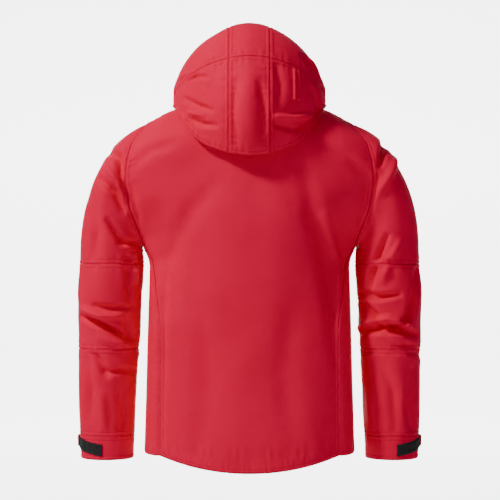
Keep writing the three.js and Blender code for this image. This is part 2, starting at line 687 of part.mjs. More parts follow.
function hoodCloth(angle, beta) {
  const p = hoodPoint(angle, beta);
  const round = hoodPoint(angle + 4, beta).sub(hoodPoint(angle - 4, beta));
  const over = hoodPoint(angle, beta + 4).sub(hoodPoint(angle, beta - 4));
  const n = round.cross(over).normalize();
  if (n.dot(p.clone().sub(hoodCentre)) < 0) n.negate();
  return { p, n };
}
const seamShare = (hoodCentreHalfWidth / hoodHalfWidth) ** (1 / hoodRoundness);
const edgeBeta = Math.acos(seamShare) * 180 / Math.PI;
const sideBetas = [14, 24, 36, 48.9, 56.2, 64, edgeBeta - 0.1];
const centreBetas = [edgeBeta + 0.1, 84, 96, 180 - edgeBeta - 0.1];
const crownAngles = [napeSeamAngle + 0.15, 52, 72, 90, 108, 126];
const napeAngles = [napeSeamAngle - 0.15, 16, 0, -20, -38];
const mirrored = (betas) => betas.map((beta) => 180 - beta);
const hoodRows = (angles, betas) => angles.map((angle) => (
  betas.map((beta) => hoodCloth(angle, beta))
));
for (const [name, betas] of [
  ['centre', centreBetas], ['left', sideBetas], ['right', mirrored(sideBetas)],
]) {
  add(`hood_${name}_crown`, layered(hoodRows(crownAngles, betas), 0, -wall), shellRed);
  add(`hood_${name}_nape`, layered(hoodRows(napeAngles, betas), 0, -wall), shellRed);
}
const brimSteps = [126.2, 126 + brimLength / 6.2, 126 + brimLength / 3.1];
const brimHalf = [48.9, 56.2, 64, edgeBeta, 84];
const brimBetas = [...brimHalf, ...mirrored(brimHalf).reverse()];
add('hood_brim', layered(hoodRows(brimSteps, brimBetas), 0.2, -wall - 0.6), shellRed);

// Casing of the volume adjuster on the right nape panel.
const casingBetas = mirrored([48.9, 56.2]);
add('hood_adjuster_casing', layered(hoodRows([napeSeamAngle - 2, 16, 0], casingBetas),
  3, 0.4), shellRed);

// Neck band: from the collar out over the shoulders to the lower edge of the hood.
function neckBandRows() {
  const foot = [126, 98, 52, 8];
  const lower = [
    ...foot.map((angle) => [angle, 14]), [-38, 14], ...sideBetas.slice(1).map((b) => [-38, b]),
    ...centreBetas.slice(1, -1).map((b) => [-38, b]),
    ...mirrored(sideBetas).reverse().map((b) => [-38, b]),
    ...foot.slice().reverse().map((angle) => [angle, 166]),
  ];
  const count = lower.length;
  const inner = lower.map((_, k) => {
    const place = lerp(0.7, collarTurns.length - 1.7, k / (count - 1));
    const column = Math.floor(place);
    const edge = between(collarPoint(column, 0), collarPoint(column + 1, 0), place - column);
    const p = edge.p.addScaledVector(edge.n, 2.8);
    p.z += 12;
    return p;
  });
  const row = (share) => lower.map(([angle, beta], k) => {
    const outer = hoodPoint(angle, beta);
    outer.addScaledVector(outer.clone().sub(hoodCentre).normalize(), -3.4);
    const p = inner[k].clone().lerp(outer, share);
    if (share > 0) clearOfShoulders(p, 5);
    return { p, n: torsoOut(p) };
  });
  return [0, 0.22, 0.46, 0.72, 1].map(row);
}

// The band is trimmed where it meets the nape panels and the fronts; only its main body stays.
function trimmedBand() {
  let band = toManifold(layered(neckBandRows(), 0.8, -0.8));
  const wide = [12.5, ...sideBetas];
  const napes = [centreBetas, wide, mirrored(wide)]
    .map((betas) => layered(hoodRows(napeAngles, betas), 0.8, -wall - 0.8));
  const fronts = [1, -1].map((sign) => layered(riseSteps.slice(9).map((rise) => (
    frontSteps.map((s) => cloth(torsoPoint(sign * Math.max(s, 1e-6), rise, -1)))
  )), seamGap, -wall));
  const back = layered(backGrid.slice(9), seamGap, -wall);
  for (const solid of [...napes, ...fronts, back]) band = band.subtract(toManifold(solid));
  const bodies = band.decompose().sort((a, b) => b.volume() - a.volume());
  return fromManifold(bodies[0]);
}
add('hood_neck_band', trimmedBand(), shellRed);

export default group;
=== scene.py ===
# Hooded hardshell jacket: fabric, trims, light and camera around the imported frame.
import json
import math
import bpy
import bmesh
import numpy as np
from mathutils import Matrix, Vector, noise


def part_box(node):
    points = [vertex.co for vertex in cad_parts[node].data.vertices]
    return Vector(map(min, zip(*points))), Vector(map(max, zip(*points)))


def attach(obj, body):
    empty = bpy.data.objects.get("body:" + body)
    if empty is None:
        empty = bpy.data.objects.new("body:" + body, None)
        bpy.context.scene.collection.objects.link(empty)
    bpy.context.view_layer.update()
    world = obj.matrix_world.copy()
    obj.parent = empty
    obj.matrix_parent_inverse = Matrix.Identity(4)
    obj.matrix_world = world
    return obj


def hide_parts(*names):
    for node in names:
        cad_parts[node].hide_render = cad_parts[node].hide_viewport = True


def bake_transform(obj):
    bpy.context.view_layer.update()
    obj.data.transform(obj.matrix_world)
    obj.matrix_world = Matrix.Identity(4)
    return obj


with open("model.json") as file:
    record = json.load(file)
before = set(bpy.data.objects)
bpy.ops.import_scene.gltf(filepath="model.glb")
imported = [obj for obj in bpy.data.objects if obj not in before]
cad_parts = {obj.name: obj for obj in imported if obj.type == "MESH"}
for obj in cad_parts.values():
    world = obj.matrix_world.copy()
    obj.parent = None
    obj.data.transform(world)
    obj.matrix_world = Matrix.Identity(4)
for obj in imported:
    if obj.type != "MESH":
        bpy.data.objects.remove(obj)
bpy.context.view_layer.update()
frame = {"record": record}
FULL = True

MM = 0.001
BODY_Y = -50.0            # middle plane between front and back, millimetres like every size below
NECK_HALF = 78            # half width of the neck opening
SHOULDER_HALF = 212       # top of the armhole seam
CHEST_HALF = 249          # widest between the armhole seams
SHOULDER_TOP = -20        # height of the shoulder point
SHOULDER_ROUND = 96       # radius of the shoulder curve at the shoulder point
ZIP_HALF = 13             # half width of the front zip, where the fronts start
UNDERARM_Z = -258
HOOD_HALF = 160
HOOD_CENTRE_HALF = 41     # half width of the hood's middle panels
HOOD_ROUNDNESS = 1.1      # 1 is an ellipse, higher is more pointed

# ------------------------------------------------------------------ measures taken from the frame
def node_box(name):
    low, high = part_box(name)
    return np.array(low) * 1000, np.array(high) * 1000

HEM_Z = node_box("left_side_panel")[0][2]
HEM_DROP = HEM_Z - node_box("back_panel")[0][2]
CUFF_Z = node_box("left_cuff")[0][2]
CURVE_START = SHOULDER_TOP - SHOULDER_ROUND


# ------------------------------------------------------------------ shape of the torso
def smoothstep(a, b, v):
    t = np.clip((v - a) / (b - a), 0, 1)
    return t * t * (3 - 2 * t)


def mix(a, b, t):
    return a + (b - a) * t


def station(table, z, ease=14.0):
    """Value at z along [z, value] stations, with the corners between them rounded."""
    zs, vs = [p[0] for p in table], [p[1] for p in table]
    steps = (-1.0, -0.6, -0.2, 0.2, 0.6, 1.0)
    return sum(np.interp(z + o * ease, zs, vs) for o in steps) / len(steps)


def side_half(z):
    return station([(HEM_Z, 215), (-440, 208), (-300, 204), (-258, 220)], z)


def seam_x(z):
    return station([(-430, 179), (-300, 195), (-258, 218), (-190, 242), (-133, 249), (-98, 245),
                    (-60, 235.7), (-24, 212)], z, 8)


def seam_depth(z):
    return station([(HEM_Z, 84), (-430, 80), (-300, 44), (-258, 38), (-190, 72), (-120, 86)], z, 8)


def back_depth(z):
    return station([(HEM_Z, 130), (-440, 122), (-200, 132), (-75, 118)], z, 40)


def front_depth(z):
    return 130 - (z + 688) * 33 / 643


def ridge(x):
    d = np.abs(x)
    neck = 16 + 16 * (d / NECK_HALF) ** 2
    shoulder = np.interp(d, [NECK_HALF, 163, SHOULDER_HALF, 240], [32, 7, SHOULDER_TOP, -38])
    return np.where(d < NECK_HALF, neck, shoulder)


def shoulder_round(x):
    return mix(110, SHOULDER_ROUND, np.clip(np.abs(x) / SHOULDER_HALF, 0, 1))


def torso(across, rise, side):
    """Point on the body: across 0 middle to 1 side seam, rise 0 hem, 1 shoulder curve, 2 ridge."""
    s, sign = np.abs(across), np.where(across < 0, -1.0, 1.0)
    first = 0.0 if side > 0 else float(ZIP_HALF)
    top_x = first + s * (SHOULDER_HALF - first)
    drop = HEM_DROP * (1 - s * s) if side > 0 else 0
    neck = np.clip(top_x / NECK_HALF, 0, 1)
    neck_angle = mix(58.0 if side > 0 else 25.0, 89.8, neck ** 2)
    turn_up = np.clip(rise - 1, 0, 1)
    angle, edge_angle = np.radians(neck_angle) * turn_up, math.radians(89.8) * turn_up
    low = np.clip(rise, 0, 1)
    edge_z = mix(HEM_Z, CURVE_START, low) + SHOULDER_ROUND * np.sin(edge_angle)
    z = mix(HEM_Z - drop, ridge(top_x) - shoulder_round(top_x), low)
    z = z + shoulder_round(top_x) * np.sin(angle)
    edge_x = seam_x(edge_z)
    x = first + s * (edge_x - first)
    flat = 1 - (x / edge_x) ** 2.6
    depth = back_depth(z) if side > 0 else front_depth(z)
    edge = seam_depth(edge_z)
    full = edge + (depth - edge) * flat
    turn = 1.0 if side > 0 else smoothstep(ZIP_HALF, 62, x)
    y = full * (1 - (1 - np.cos(angle)) * turn)
    return np.stack([sign * x, BODY_Y + side * y, z + 0 * x], -1)


UNDER_RISE = (UNDERARM_Z - HEM_Z) / (CURVE_START - HEM_Z)


def side_panel(sign, turn, rise):
    back = torso(np.ones_like(rise), rise, 1)
    edge_x, z = back[:, 0], back[:, 2]
    depth = seam_depth(z)
    width = np.maximum(side_half(z), edge_x + 2)
    c, s = np.cos(turn), np.sin(turn)
    lower = 6 * c * smoothstep(UNDER_RISE - 0.08, UNDER_RISE, rise)
    return np.stack([sign * (edge_x + (width - edge_x) * c), BODY_Y + depth * s, z - lower], -1)


# ------------------------------------------------------------------ sleeves
def sleeve_x(z):
    return station([(CUFF_Z, 293), (-600, 293), (-440, 288), (-359, 287), (-305, 281.5),
                    (-280, 282.5)], z)


def sleeve_half(z):
    return station([(CUFF_Z, 54), (-655, 56), (-600, 58), (-520, 60), (-440, 63), (-359, 66),
                    (-305, 66), (-280, 64)], z)


def sleeve_y(z):
    return BODY_Y + station([(CUFF_Z, -20), (-600, -18), (-520, -14), (-440, -8), (-359, -2),
                             (-280, 0)], z)


def sleeve_depth(z):
    return station([(CUFF_Z, 55), (-600, 58), (-440, 64), (-359, 68)], z)


def armhole_loop():
    """The armhole edge of the wearer's left side, and the angle of each point round it."""
    rises = np.linspace(2, UNDER_RISE, 120)
    back = torso(np.ones_like(rises), rises, 1)
    turns = np.radians(np.linspace(85, -85, 40))
    under = side_panel(1, turns, np.full(40, UNDER_RISE))
    front = torso(np.ones_like(rises), rises[::-1], -1)
    loop = np.concatenate([back, under, front])
    angle = np.unwrap(np.arctan2(loop[:, 1] - BODY_Y, loop[:, 2] + 140))
    return loop, angle


LOOP, LOOP_ANGLE = armhole_loop()


def armhole(angle):
    a = np.mod(angle, 2 * math.pi)
    a0, a1 = LOOP_ANGLE[0], LOOP_ANGLE[-1]
    a = np.clip(a, min(a0, a1), max(a0, a1))
    return np.stack([np.interp(a, LOOP_ANGLE, LOOP[:, k]) for k in range(3)], -1)


def hanging_sleeve(sign, angle, z):
    c, s = np.cos(angle), np.sin(angle)
    return np.stack([sign * (sleeve_x(z) + sleeve_half(z) * c),
                     sleeve_y(z) + sleeve_depth(z) * s, z + 0 * c], -1)


def sleeve_head(sign, angle, t):
    """From the armhole over to where the sleeve hangs straight: t 0 to 1."""
    start = armhole(angle)
    start[:, 0] -= 0.9
    end = hanging_sleeve(1, angle, np.full_like(angle, -280.0))
    under = np.maximum(0, -np.cos(angle))[:, None]
    reach = np.linalg.norm(start - end, axis=1)[:, None] * 0.34
    leave = np.concatenate([mix(1, 0.25, under), 0 * under, -0.35 - under * 0.6], 1)
    leave /= np.linalg.norm(leave, axis=1)[:, None]
    a, b = start + leave * reach, end + np.array([0, 0, 1.0]) * reach
    t = t[:, None]
    p = (start * (1 - t) ** 3 + 3 * a * t * (1 - t) ** 2 + 3 * b * t * t * (1 - t) + end * t ** 3)
    p[:, 0] *= sign
    return p


# ------------------------------------------------------------------ collar and hood
def neckline(k):
    """k from 0 at the left zip edge round the back to 1 at the right zip edge."""
    side_k = 0.27
    a = np.clip(k, 0, 1)
    left = torso(np.clip(a / side_k, 0, 1) * 0.3266 + 1e-6, np.full_like(a, 2.0), -1)
    back = torso(mix(0.368, -0.368, np.clip((a - side_k) / (1 - 2 * side_k), 0, 1)),
                 np.full_like(a, 2.0), 1)
    right = torso(-np.clip((1 - a) / side_k, 0, 1) * 0.3266 - 1e-6, np.full_like(a, 2.0), -1)
    out = np.where((a < side_k)[:, None], left, back)
    return np.where((a > 1 - side_k)[:, None], right, out)


def collar(k, height, out=0.0):
    base = neckline(k)
    base[:, 2] += 0.5
    n = np.stack([base[:, 0] / NECK_HALF ** 2, (base[:, 1] - BODY_Y) / 84 ** 2, 0 * k], -1)
    n /= np.linalg.norm(n, axis=1)[:, None]
    top = mix(38.0, 74.0, smoothstep(-1, 1, n[:, 1]))
    p = base.copy()
    p[:, 2] = mix(base[:, 2], top, height)
    lean = (front_depth(base[:, 2]) - front_depth(p[:, 2])) * np.maximum(0, -n[:, 1])
    p[:, 1] += lean
    flare = 6 * height * np.sqrt(np.maximum(n[:, 1], 0))
    return p + n * (flare + out)[:, None]


PIVOT_Z = 16.0


def clear_of_shoulders(p, clearance):
    side = np.where(p[:, 1] > BODY_Y, 1.0, -1.0)
    out = np.clip(np.abs(p[:, 0]) / CHEST_HALF, 0, 1) ** 2.6
    depth = np.where(side > 0, 118 - 32 * out, 99 - 13 * out)
    rounding = shoulder_round(p[:, 0])
    base = ridge(p[:, 0]) - rounding
    v = (p[:, 1] - BODY_Y) / depth
    w = np.maximum(0, (p[:, 2] - base) / rounding)
    reach = np.hypot(v, w)
    wanted = 1 + clearance / rounding
    push = np.where((reach < wanted) & (reach > 0.01), wanted / np.maximum(reach, 0.01), 1.0)
    q = p.copy()
    q[:, 1] = BODY_Y + v * depth * push
    q[:, 2] = np.where((w > 0) & (push > 1), base + w * rounding * push, p[:, 2])
    return q


def arch_radius(angle):
    return station([(-38, 178), (-20, 165), (0, 156), (15, 155), (33, 160), (60, 171), (90, 168),
                    (140, 180)], angle, 10)


def hood(angle, beta, clearance=14.0):
    """Arches over the head: angle -38 nape, 90 crown, 126 face edge; beta 0 to 180 side to side."""
    face = smoothstep(88, 128, angle)
    width = mix(float(HOOD_HALF), 116.0, face)
    pivot_y = BODY_Y + mix(10.0, -52.0, face)
    c, s = np.cos(np.radians(beta)), np.sin(np.radians(beta))
    arch = arch_radius(angle) * np.maximum(s, 1e-4) ** HOOD_ROUNDNESS
    p = np.stack([width * np.sign(c) * np.abs(c) ** HOOD_ROUNDNESS,
                  pivot_y + arch * np.cos(np.radians(angle)),
                  PIVOT_Z + arch * np.sin(np.radians(angle))], -1)
    return clear_of_shoulders(p, clearance)


EDGE_BETA = math.degrees(math.acos((HOOD_CENTRE_HALF / HOOD_HALF) ** (1 / HOOD_ROUNDNESS)))


# ------------------------------------------------------------------ creases
# Each crease: where it runs on the back view as (x, z), its half width and its height.
# A height below zero is a valley, above zero a ridge.
BACK_CREASES = [
    ([(-104, -118), (-140, -240), (-168, -379), (-184, -500), (-196, -656)], 17, -6.0),
    ([(-150, -210), (-177, -301), (-181, -400), (-180, -482)], 9, 5.0),
    ([(-180, -482), (-172, -505)], 7, -3.0),
    ([(-60, -140), (-108, -190), (-150, -262)], 22, -3.5),
    ([(207, -335), (190, -392), (177, -430)], 8, -4.0),
    ([(167, -330), (173, -414), (172, -525), (176, -660)], 8, -3.5),
    ([(196, -560), (197, -690)], 7, -3.0),
    ([(70, -150), (118, -205), (160, -290), (172, -330)], 20, -3.0),
    ([(-30, -420), (10, -520), (0, -640)], 40, 3.0),
    ([(-90, -380), (-70, -520), (-86, -660)], 26, -2.6),
    ([(92, -400), (84, -540), (98, -670)], 24, -2.2),
    ([(236, -150), (226, -200), (221, -250)], 7, -3.0),
    ([(-236, -150), (-228, -200), (-221, -250)], 7, -3.0),
    ([(-150, -70), (-196, -92), (-236, -130)], 12, -3.0),
    ([(150, -66), (196, -80), (236, -112)], 12, -2.6),
]
LEFT_SLEEVE_CREASES = [
    ([(292, -76), (263, -90), (252, -123), (234, -164), (226, -211)], 9, -6.0),
    ([(300, -135), (268, -162), (251, -197)], 8, -5.0),
    ([(286, -112), (262, -140), (246, -176)], 7, 4.0),
    ([(284, -219), (262, -252), (252, -262)], 7, -5.0),
    ([(262, -262), (224, -264)], 6, -5.0),
    ([(246, -292), (244, -379)], 6, -4.5),
    ([(232, -285), (231, -340)], 5, 4.5),
    ([(312, -390), (276, -396), (238, -391)], 7, -3.5),
    ([(338, -412), (298, -428), (270, -440), (240, -458)], 7, -8.5),
    ([(340, -396), (300, -408), (262, -410)], 7, 5.0),
    ([(300, -452), (262, -470), (236, -476)], 9, 4.0),
    ([(252, -418), (240, -452)], 8, -5.0),
    ([(318, -478), (300, -505), (288, -530)], 8, -4.5),
    ([(292, -524), (262, -520), (236, -524)], 7, -4.0),
    ([(330, -500), (322, -560), (326, -620)], 9, -3.0),
    ([(262, -560), (256, -620), (262, -650)], 9, -3.0),
    ([(300, -570), (294, -640)], 10, 3.0),
    ([(320, -170), (306, -240), (312, -300)], 12, -3.0),
]
RIGHT_SLEEVE_CREASES = [
    ([(-280, -38), (-272, -70), (-262, -108)], 8, -5.5),
    ([(-300, -80), (-284, -120), (-262, -160)], 9, 4.0),
    ([(-252, -130), (-240, -175), (-228, -220)], 8, -5.0),
    ([(-276, -250), (-252, -306), (-240, -360)], 7, -6.0),
    ([(-300, -262), (-280, -300), (-268, -340)], 8, 4.0),
    ([(-228, -366), (-262, -372), (-298, -366)], 7, -6.5),
    ([(-230, -385), (-252, -410), (-262, -440)], 8, -6.0),
    ([(-276, -442), (-304, -430), (-322, -410), (-330, -376)], 8, -6.0),
    ([(-226, -444), (-278, -432), (-335, -448)], 7, -8.0),
    ([(-232, -424), (-280, -414), (-318, -428)], 6, 5.0),
    ([(-296, -478), (-313, -472), (-349, -490)], 8, -6.0),
    ([(-228, -482), (-262, -480)], 6, -4.0),
    ([(-342, -305), (-334, -360), (-322, -412)], 7, -4.5),
    ([(-262, -500), (-290, -560), (-296, -640)], 12, -3.0),
    ([(-330, -520), (-322, -600), (-330, -648)], 9, -3.0),
    ([(-246, -560), (-250, -640)], 9, 3.0),
]
HOOD_CREASES = [
    ([(138, 60), (108, 67), (84, 62)], 5, -3.0),
    ([(136, 70), (106, 77)], 5, 2.5),
    ([(130, 24), (100, 6), (74, -4)], 6, -3.2),
    ([(120, -18), (94, -30), (66, -34)], 6, -3.0),
    ([(118, -4), (92, -14)], 5, 2.6),
    ([(-44, -16), (-84, -18), (-124, -10)], 6, 4.0),
    ([(-50, -34), (-90, -40), (-112, -30)], 7, -3.0),
    ([(-106, 110), (-128, 84), (-146, 52)], 6, -3.4),
    ([(-120, 108), (-140, 78)], 5, 2.6),
    ([(-126, 40), (-136, 8), (-128, -14)], 7, -3.0),
    ([(0, 60), (4, 0), (0, -60)], 22, 2.6),
    ([(26, 50), (34, -10), (26, -66)], 9, -2.2),
    ([(-20, 50), (-30, 4), (-26, -60)], 9, -2.2),
    ([(60, 120), (86, 80), (90, 40)], 14, 2.0),
    ([(-52, 92), (-60, 50), (-58, 10)], 10, -2.4),
]


CREASE_HEIGHT = 1.9


def crease_field(points, strokes):
    """Sum of the creases at each point, by its distance from every crease's line."""
    x, z = points[:, 0], points[:, 2]
    total = np.zeros(len(points))
    for line, width, height in strokes:
        best = np.full(len(points), 1e9)
        place = np.zeros(len(points))
        count = len(line) - 1
        for k in range(count):
            (ax, az), (bx, bz) = line[k], line[k + 1]
            dx, dz = bx - ax, bz - az
            t = ((x - ax) * dx + (z - az) * dz) / (dx * dx + dz * dz)
            t = np.clip(t, 0, 1)
            d = np.hypot(x - ax - t * dx, z - az - t * dz)
            nearer = d < best
            best = np.where(nearer, d, best)
            place = np.where(nearer, (k + t) / count, place)
        ends = np.sin(np.pi * np.clip(place * 0.86 + 0.07, 0, 1)) ** 0.6
        sharp = np.exp(-(best / width) ** 2) - 0.28 * np.exp(-(best / (2.4 * width)) ** 2)
        total += CREASE_HEIGHT * height * ends * sharp
    return total


def rumple(points, size, height, seed):
    """Soft uneven swell of the fabric."""
    offset = Vector((seed * 17.3, seed * 5.1, seed * 9.7))
    values = [noise.noise(Vector(p) / size + offset) for p in points]
    return height * np.array(values)


def puckers(distance, along, reach, height, pitch, seed):
    """Small gathers beside a sewn seam."""
    phase = 2 * math.pi * along / pitch
    wave = np.sin(phase + 1.7 * np.sin(phase * 0.37 + seed)) + 0.5 * np.sin(phase * 0.53 + 2 * seed)
    return height * wave * np.exp(-(distance / reach) ** 2)


# ------------------------------------------------------------------ fabric panels
def fabric(name, surface, columns, rows, relief=None, seams="LRBT", closed=False, wall=1.2,
           outward=None, materials=(), seam_depth_mm=0.7, lift=0.0):
    """A sewn panel: a grid laid on the surface, pushed into creases, with its seam edges turned in.

    seams names the edges that are sewn: L and R are the first and last column, B and T the
    first and last row. The UV map holds the distance from the nearest seam and the length
    along it, in metres, for the rows of stitches.
    """
    bm = bmesh.new()
    bmesh.ops.create_grid(bm, x_segments=columns, y_segments=rows, size=1.0)
    bm.verts.ensure_lookup_table()
    flat = np.array([v.co for v in bm.verts])
    u, v = (flat[:, 0] + 1) / 2, (flat[:, 1] + 1) / 2
    step = 1e-3
    p = surface(u, v)
    du = surface(np.clip(u + step, 0, 1), v) - surface(np.clip(u - step, 0, 1), v)
    dv = surface(u, np.clip(v + step, 0, 1)) - surface(u, np.clip(v - step, 0, 1))
    span_u = np.clip(u + step, 0, 1) - np.clip(u - step, 0, 1)
    span_v = np.clip(v + step, 0, 1) - np.clip(v - step, 0, 1)
    wide = np.linalg.norm(du, axis=1) / span_u
    tall = np.linalg.norm(dv, axis=1) / span_v
    n = np.cross(du, dv)
    n /= np.maximum(np.linalg.norm(n, axis=1), 1e-9)[:, None]
    centre = np.array(outward) if outward is not None else p.mean(0)
    turned = np.sum(n * (p - centre)) < 0
    if turned:
        n = -n
    edges = []
    if "L" in seams:
        edges.append((u * wide, v * tall.mean()))
    if "R" in seams:
        edges.append(((1 - u) * wide, v * tall.mean()))
    if "B" in seams:
        edges.append((v * tall, u * wide.mean()))
    if "T" in seams:
        edges.append(((1 - v) * tall, u * wide.mean()))
    distance, along = np.full(len(p), 500.0), np.zeros(len(p))
    for d, s in edges:
        along = np.where(d < distance, s, along)
        distance = np.minimum(distance, d)
    push = np.full(len(p), lift)
    if relief is not None:
        push = push + relief(p, n) * smoothstep(0, 16, distance)
    if edges:
        push -= seam_depth_mm * np.exp(-(distance / 1.8) ** 2)
        push += 0.5 * np.exp(-((distance - 4.5) / 2.5) ** 2)
        push -= 0.45 * np.exp(-((distance - 8.5) / 1.6) ** 2)
        push += puckers(distance - 9, along, 12, 0.35, 19, len(name))
    p = p + n * push[:, None]
    uv = bm.loops.layers.uv.new("seam")
    for i, vert in enumerate(bm.verts):
        vert.co = p[i] * MM
    for face in bm.faces:
        for loop in face.loops:
            i = loop.vert.index
            loop[uv].uv = (distance[i] * MM, along[i] * MM)
    if turned:
        bmesh.ops.reverse_faces(bm, faces=bm.faces)
    if closed:
        bmesh.ops.remove_doubles(bm, verts=bm.verts, dist=2e-5)
    for face in bm.faces:
        face.smooth = True
    mesh = bpy.data.meshes.new(name)
    bm.to_mesh(mesh)
    bm.free()
    piece = bpy.data.objects.new(name, mesh)
    bpy.context.collection.objects.link(piece)
    for material in materials:
        mesh.materials.append(material)
    thick = piece.modifiers.new("wall", "SOLIDIFY")
    thick.thickness = wall * MM
    thick.offset = -1
    thick.use_rim = True
    if len(materials) > 1:
        thick.material_offset = 1
    return piece


# ------------------------------------------------------------------ materials
def node(tree, kind, **settings):
    made = tree.nodes.new(kind)
    for key, value in settings.items():
        if key in made.inputs:
            made.inputs[key].default_value = value
        else:
            setattr(made, key, value)
    return made


def make_group(name, inputs, outputs):
    tree = bpy.data.node_groups.new(name, "ShaderNodeTree")
    for label, kind, value in inputs:
        socket = tree.interface.new_socket(label, in_out="INPUT", socket_type=kind)
        if value is not None:
            socket.default_value = value
    for label, kind in outputs:
        tree.interface.new_socket(label, in_out="OUTPUT", socket_type=kind)
    start = tree.nodes.new("NodeGroupInput")
    end = tree.nodes.new("NodeGroupOutput")
    return tree, start, end


def calculate(tree, operation, a, b=None, c=None):
    made = tree.nodes.new("ShaderNodeMath")
    made.operation = operation
    for socket, value in zip(made.inputs, (a, b, c)):
        if value is None:
            continue
        if isinstance(value, (int, float)):
            socket.default_value = value
        else:
            tree.links.new(value, socket)
    return made.outputs[0]


def weave_group():
    """Plain weave: threads crossing at the given spacing, with a little unevenness."""
    tree, start, end = make_group("plain_weave", [
        ("Vector", "NodeSocketVector", None), ("Threads", "NodeSocketFloat", 1500.0),
        ("Ripstop", "NodeSocketFloat", 0.3)], [("Height", "NodeSocketFloat"),
                                               ("Tone", "NodeSocketFloat")])
    link = tree.links.new
    split = tree.nodes.new("ShaderNodeSeparateXYZ")
    link(start.outputs["Vector"], split.inputs[0])
    slanted = calculate(tree, "MULTIPLY", split.outputs[1], 0.73)
    across = calculate(tree, "ADD", split.outputs[0], slanted)
    waves = []
    for axis in (across, split.outputs[2]):
        turns = calculate(tree, "MULTIPLY", axis, start.outputs["Threads"])
        waves.append(calculate(tree, "SINE", turns))
    crossing = calculate(tree, "MULTIPLY", waves[0], waves[1])
    grid = []
    for axis in (across, split.outputs[2]):
        wide = calculate(tree, "DIVIDE", start.outputs["Threads"], 8.0)
        turns = calculate(tree, "MULTIPLY", axis, wide)
        wave = calculate(tree, "ABSOLUTE", calculate(tree, "SINE", turns))
        rib = calculate(tree, "POWER", wave, 24.0)
        grid.append(rib)
    ribs = calculate(tree, "MULTIPLY", calculate(tree, "MAXIMUM", grid[0], grid[1]),
                     start.outputs["Ripstop"])
    uneven = node(tree, "ShaderNodeTexNoise", Scale=900.0, Detail=3.0)
    link(start.outputs["Vector"], uneven.inputs["Vector"])
    height = calculate(tree, "ADD", calculate(tree, "ADD", crossing, ribs),
                       calculate(tree, "MULTIPLY", uneven.outputs[0], 0.8))
    link(height, end.inputs["Height"])
    link(calculate(tree, "MULTIPLY_ADD", height, 0.12, 0.5), end.inputs["Tone"])
    return tree


def stitch_group():
    """Two rows of stitches beside a sewn edge, from the seam map: 1 on a thread, 0 elsewhere; and a
    mask for painted shade along the seam fold, 1 on the seam line fading to 0 at 3 mm from it.
    """
    tree, start, end = make_group("stitch_rows", [
        ("Seam", "NodeSocketVector", None), ("First", "NodeSocketFloat", 0.002),
        ("Second", "NodeSocketFloat", 0.0085)], [("Thread", "NodeSocketFloat"),
                                                 ("Seam_Shade", "NodeSocketFloat")])
    link = tree.links.new
    split = tree.nodes.new("ShaderNodeSeparateXYZ")
    link(start.outputs["Seam"], split.inputs[0])
    rows = []
    for row in ("First", "Second"):
        gap = calculate(tree, "SUBTRACT", split.outputs[0], start.outputs[row])
        gap = calculate(tree, "ABSOLUTE", gap)
        inside = tree.nodes.new("ShaderNodeMapRange")
        inside.interpolation_type = "SMOOTHSTEP"
        inside.inputs["From Min"].default_value = 0.0007
        inside.inputs["From Max"].default_value = 0.0002
        link(gap, inside.inputs["Value"])
        rows.append(inside.outputs[0])
    line = calculate(tree, "MAXIMUM", rows[0], rows[1])
    beat = calculate(tree, "SINE", calculate(tree, "MULTIPLY", split.outputs[1], 2 * math.pi / 0.0034))
    dash = calculate(tree, "GREATER_THAN", beat, -0.45)
    link(calculate(tree, "MULTIPLY", line, dash), end.inputs["Thread"])
    # painted shade along the seam fold: darker towards the seam line, from 3 mm away to the line
    # itself
    edge = tree.nodes.new("ShaderNodeMapRange")
    edge.inputs["From Min"].default_value = 0.003
    edge.inputs["From Max"].default_value = 0.0
    link(split.outputs[0], edge.inputs["Value"])
    link(edge.outputs[0], end.inputs["Seam_Shade"])
    return tree


WEAVE = weave_group()
STITCHES = stitch_group()


def use_group(tree, group, **values):
    made = tree.nodes.new("ShaderNodeGroup")
    made.node_tree = group
    for key, value in values.items():
        made.inputs[key].default_value = value
    return made


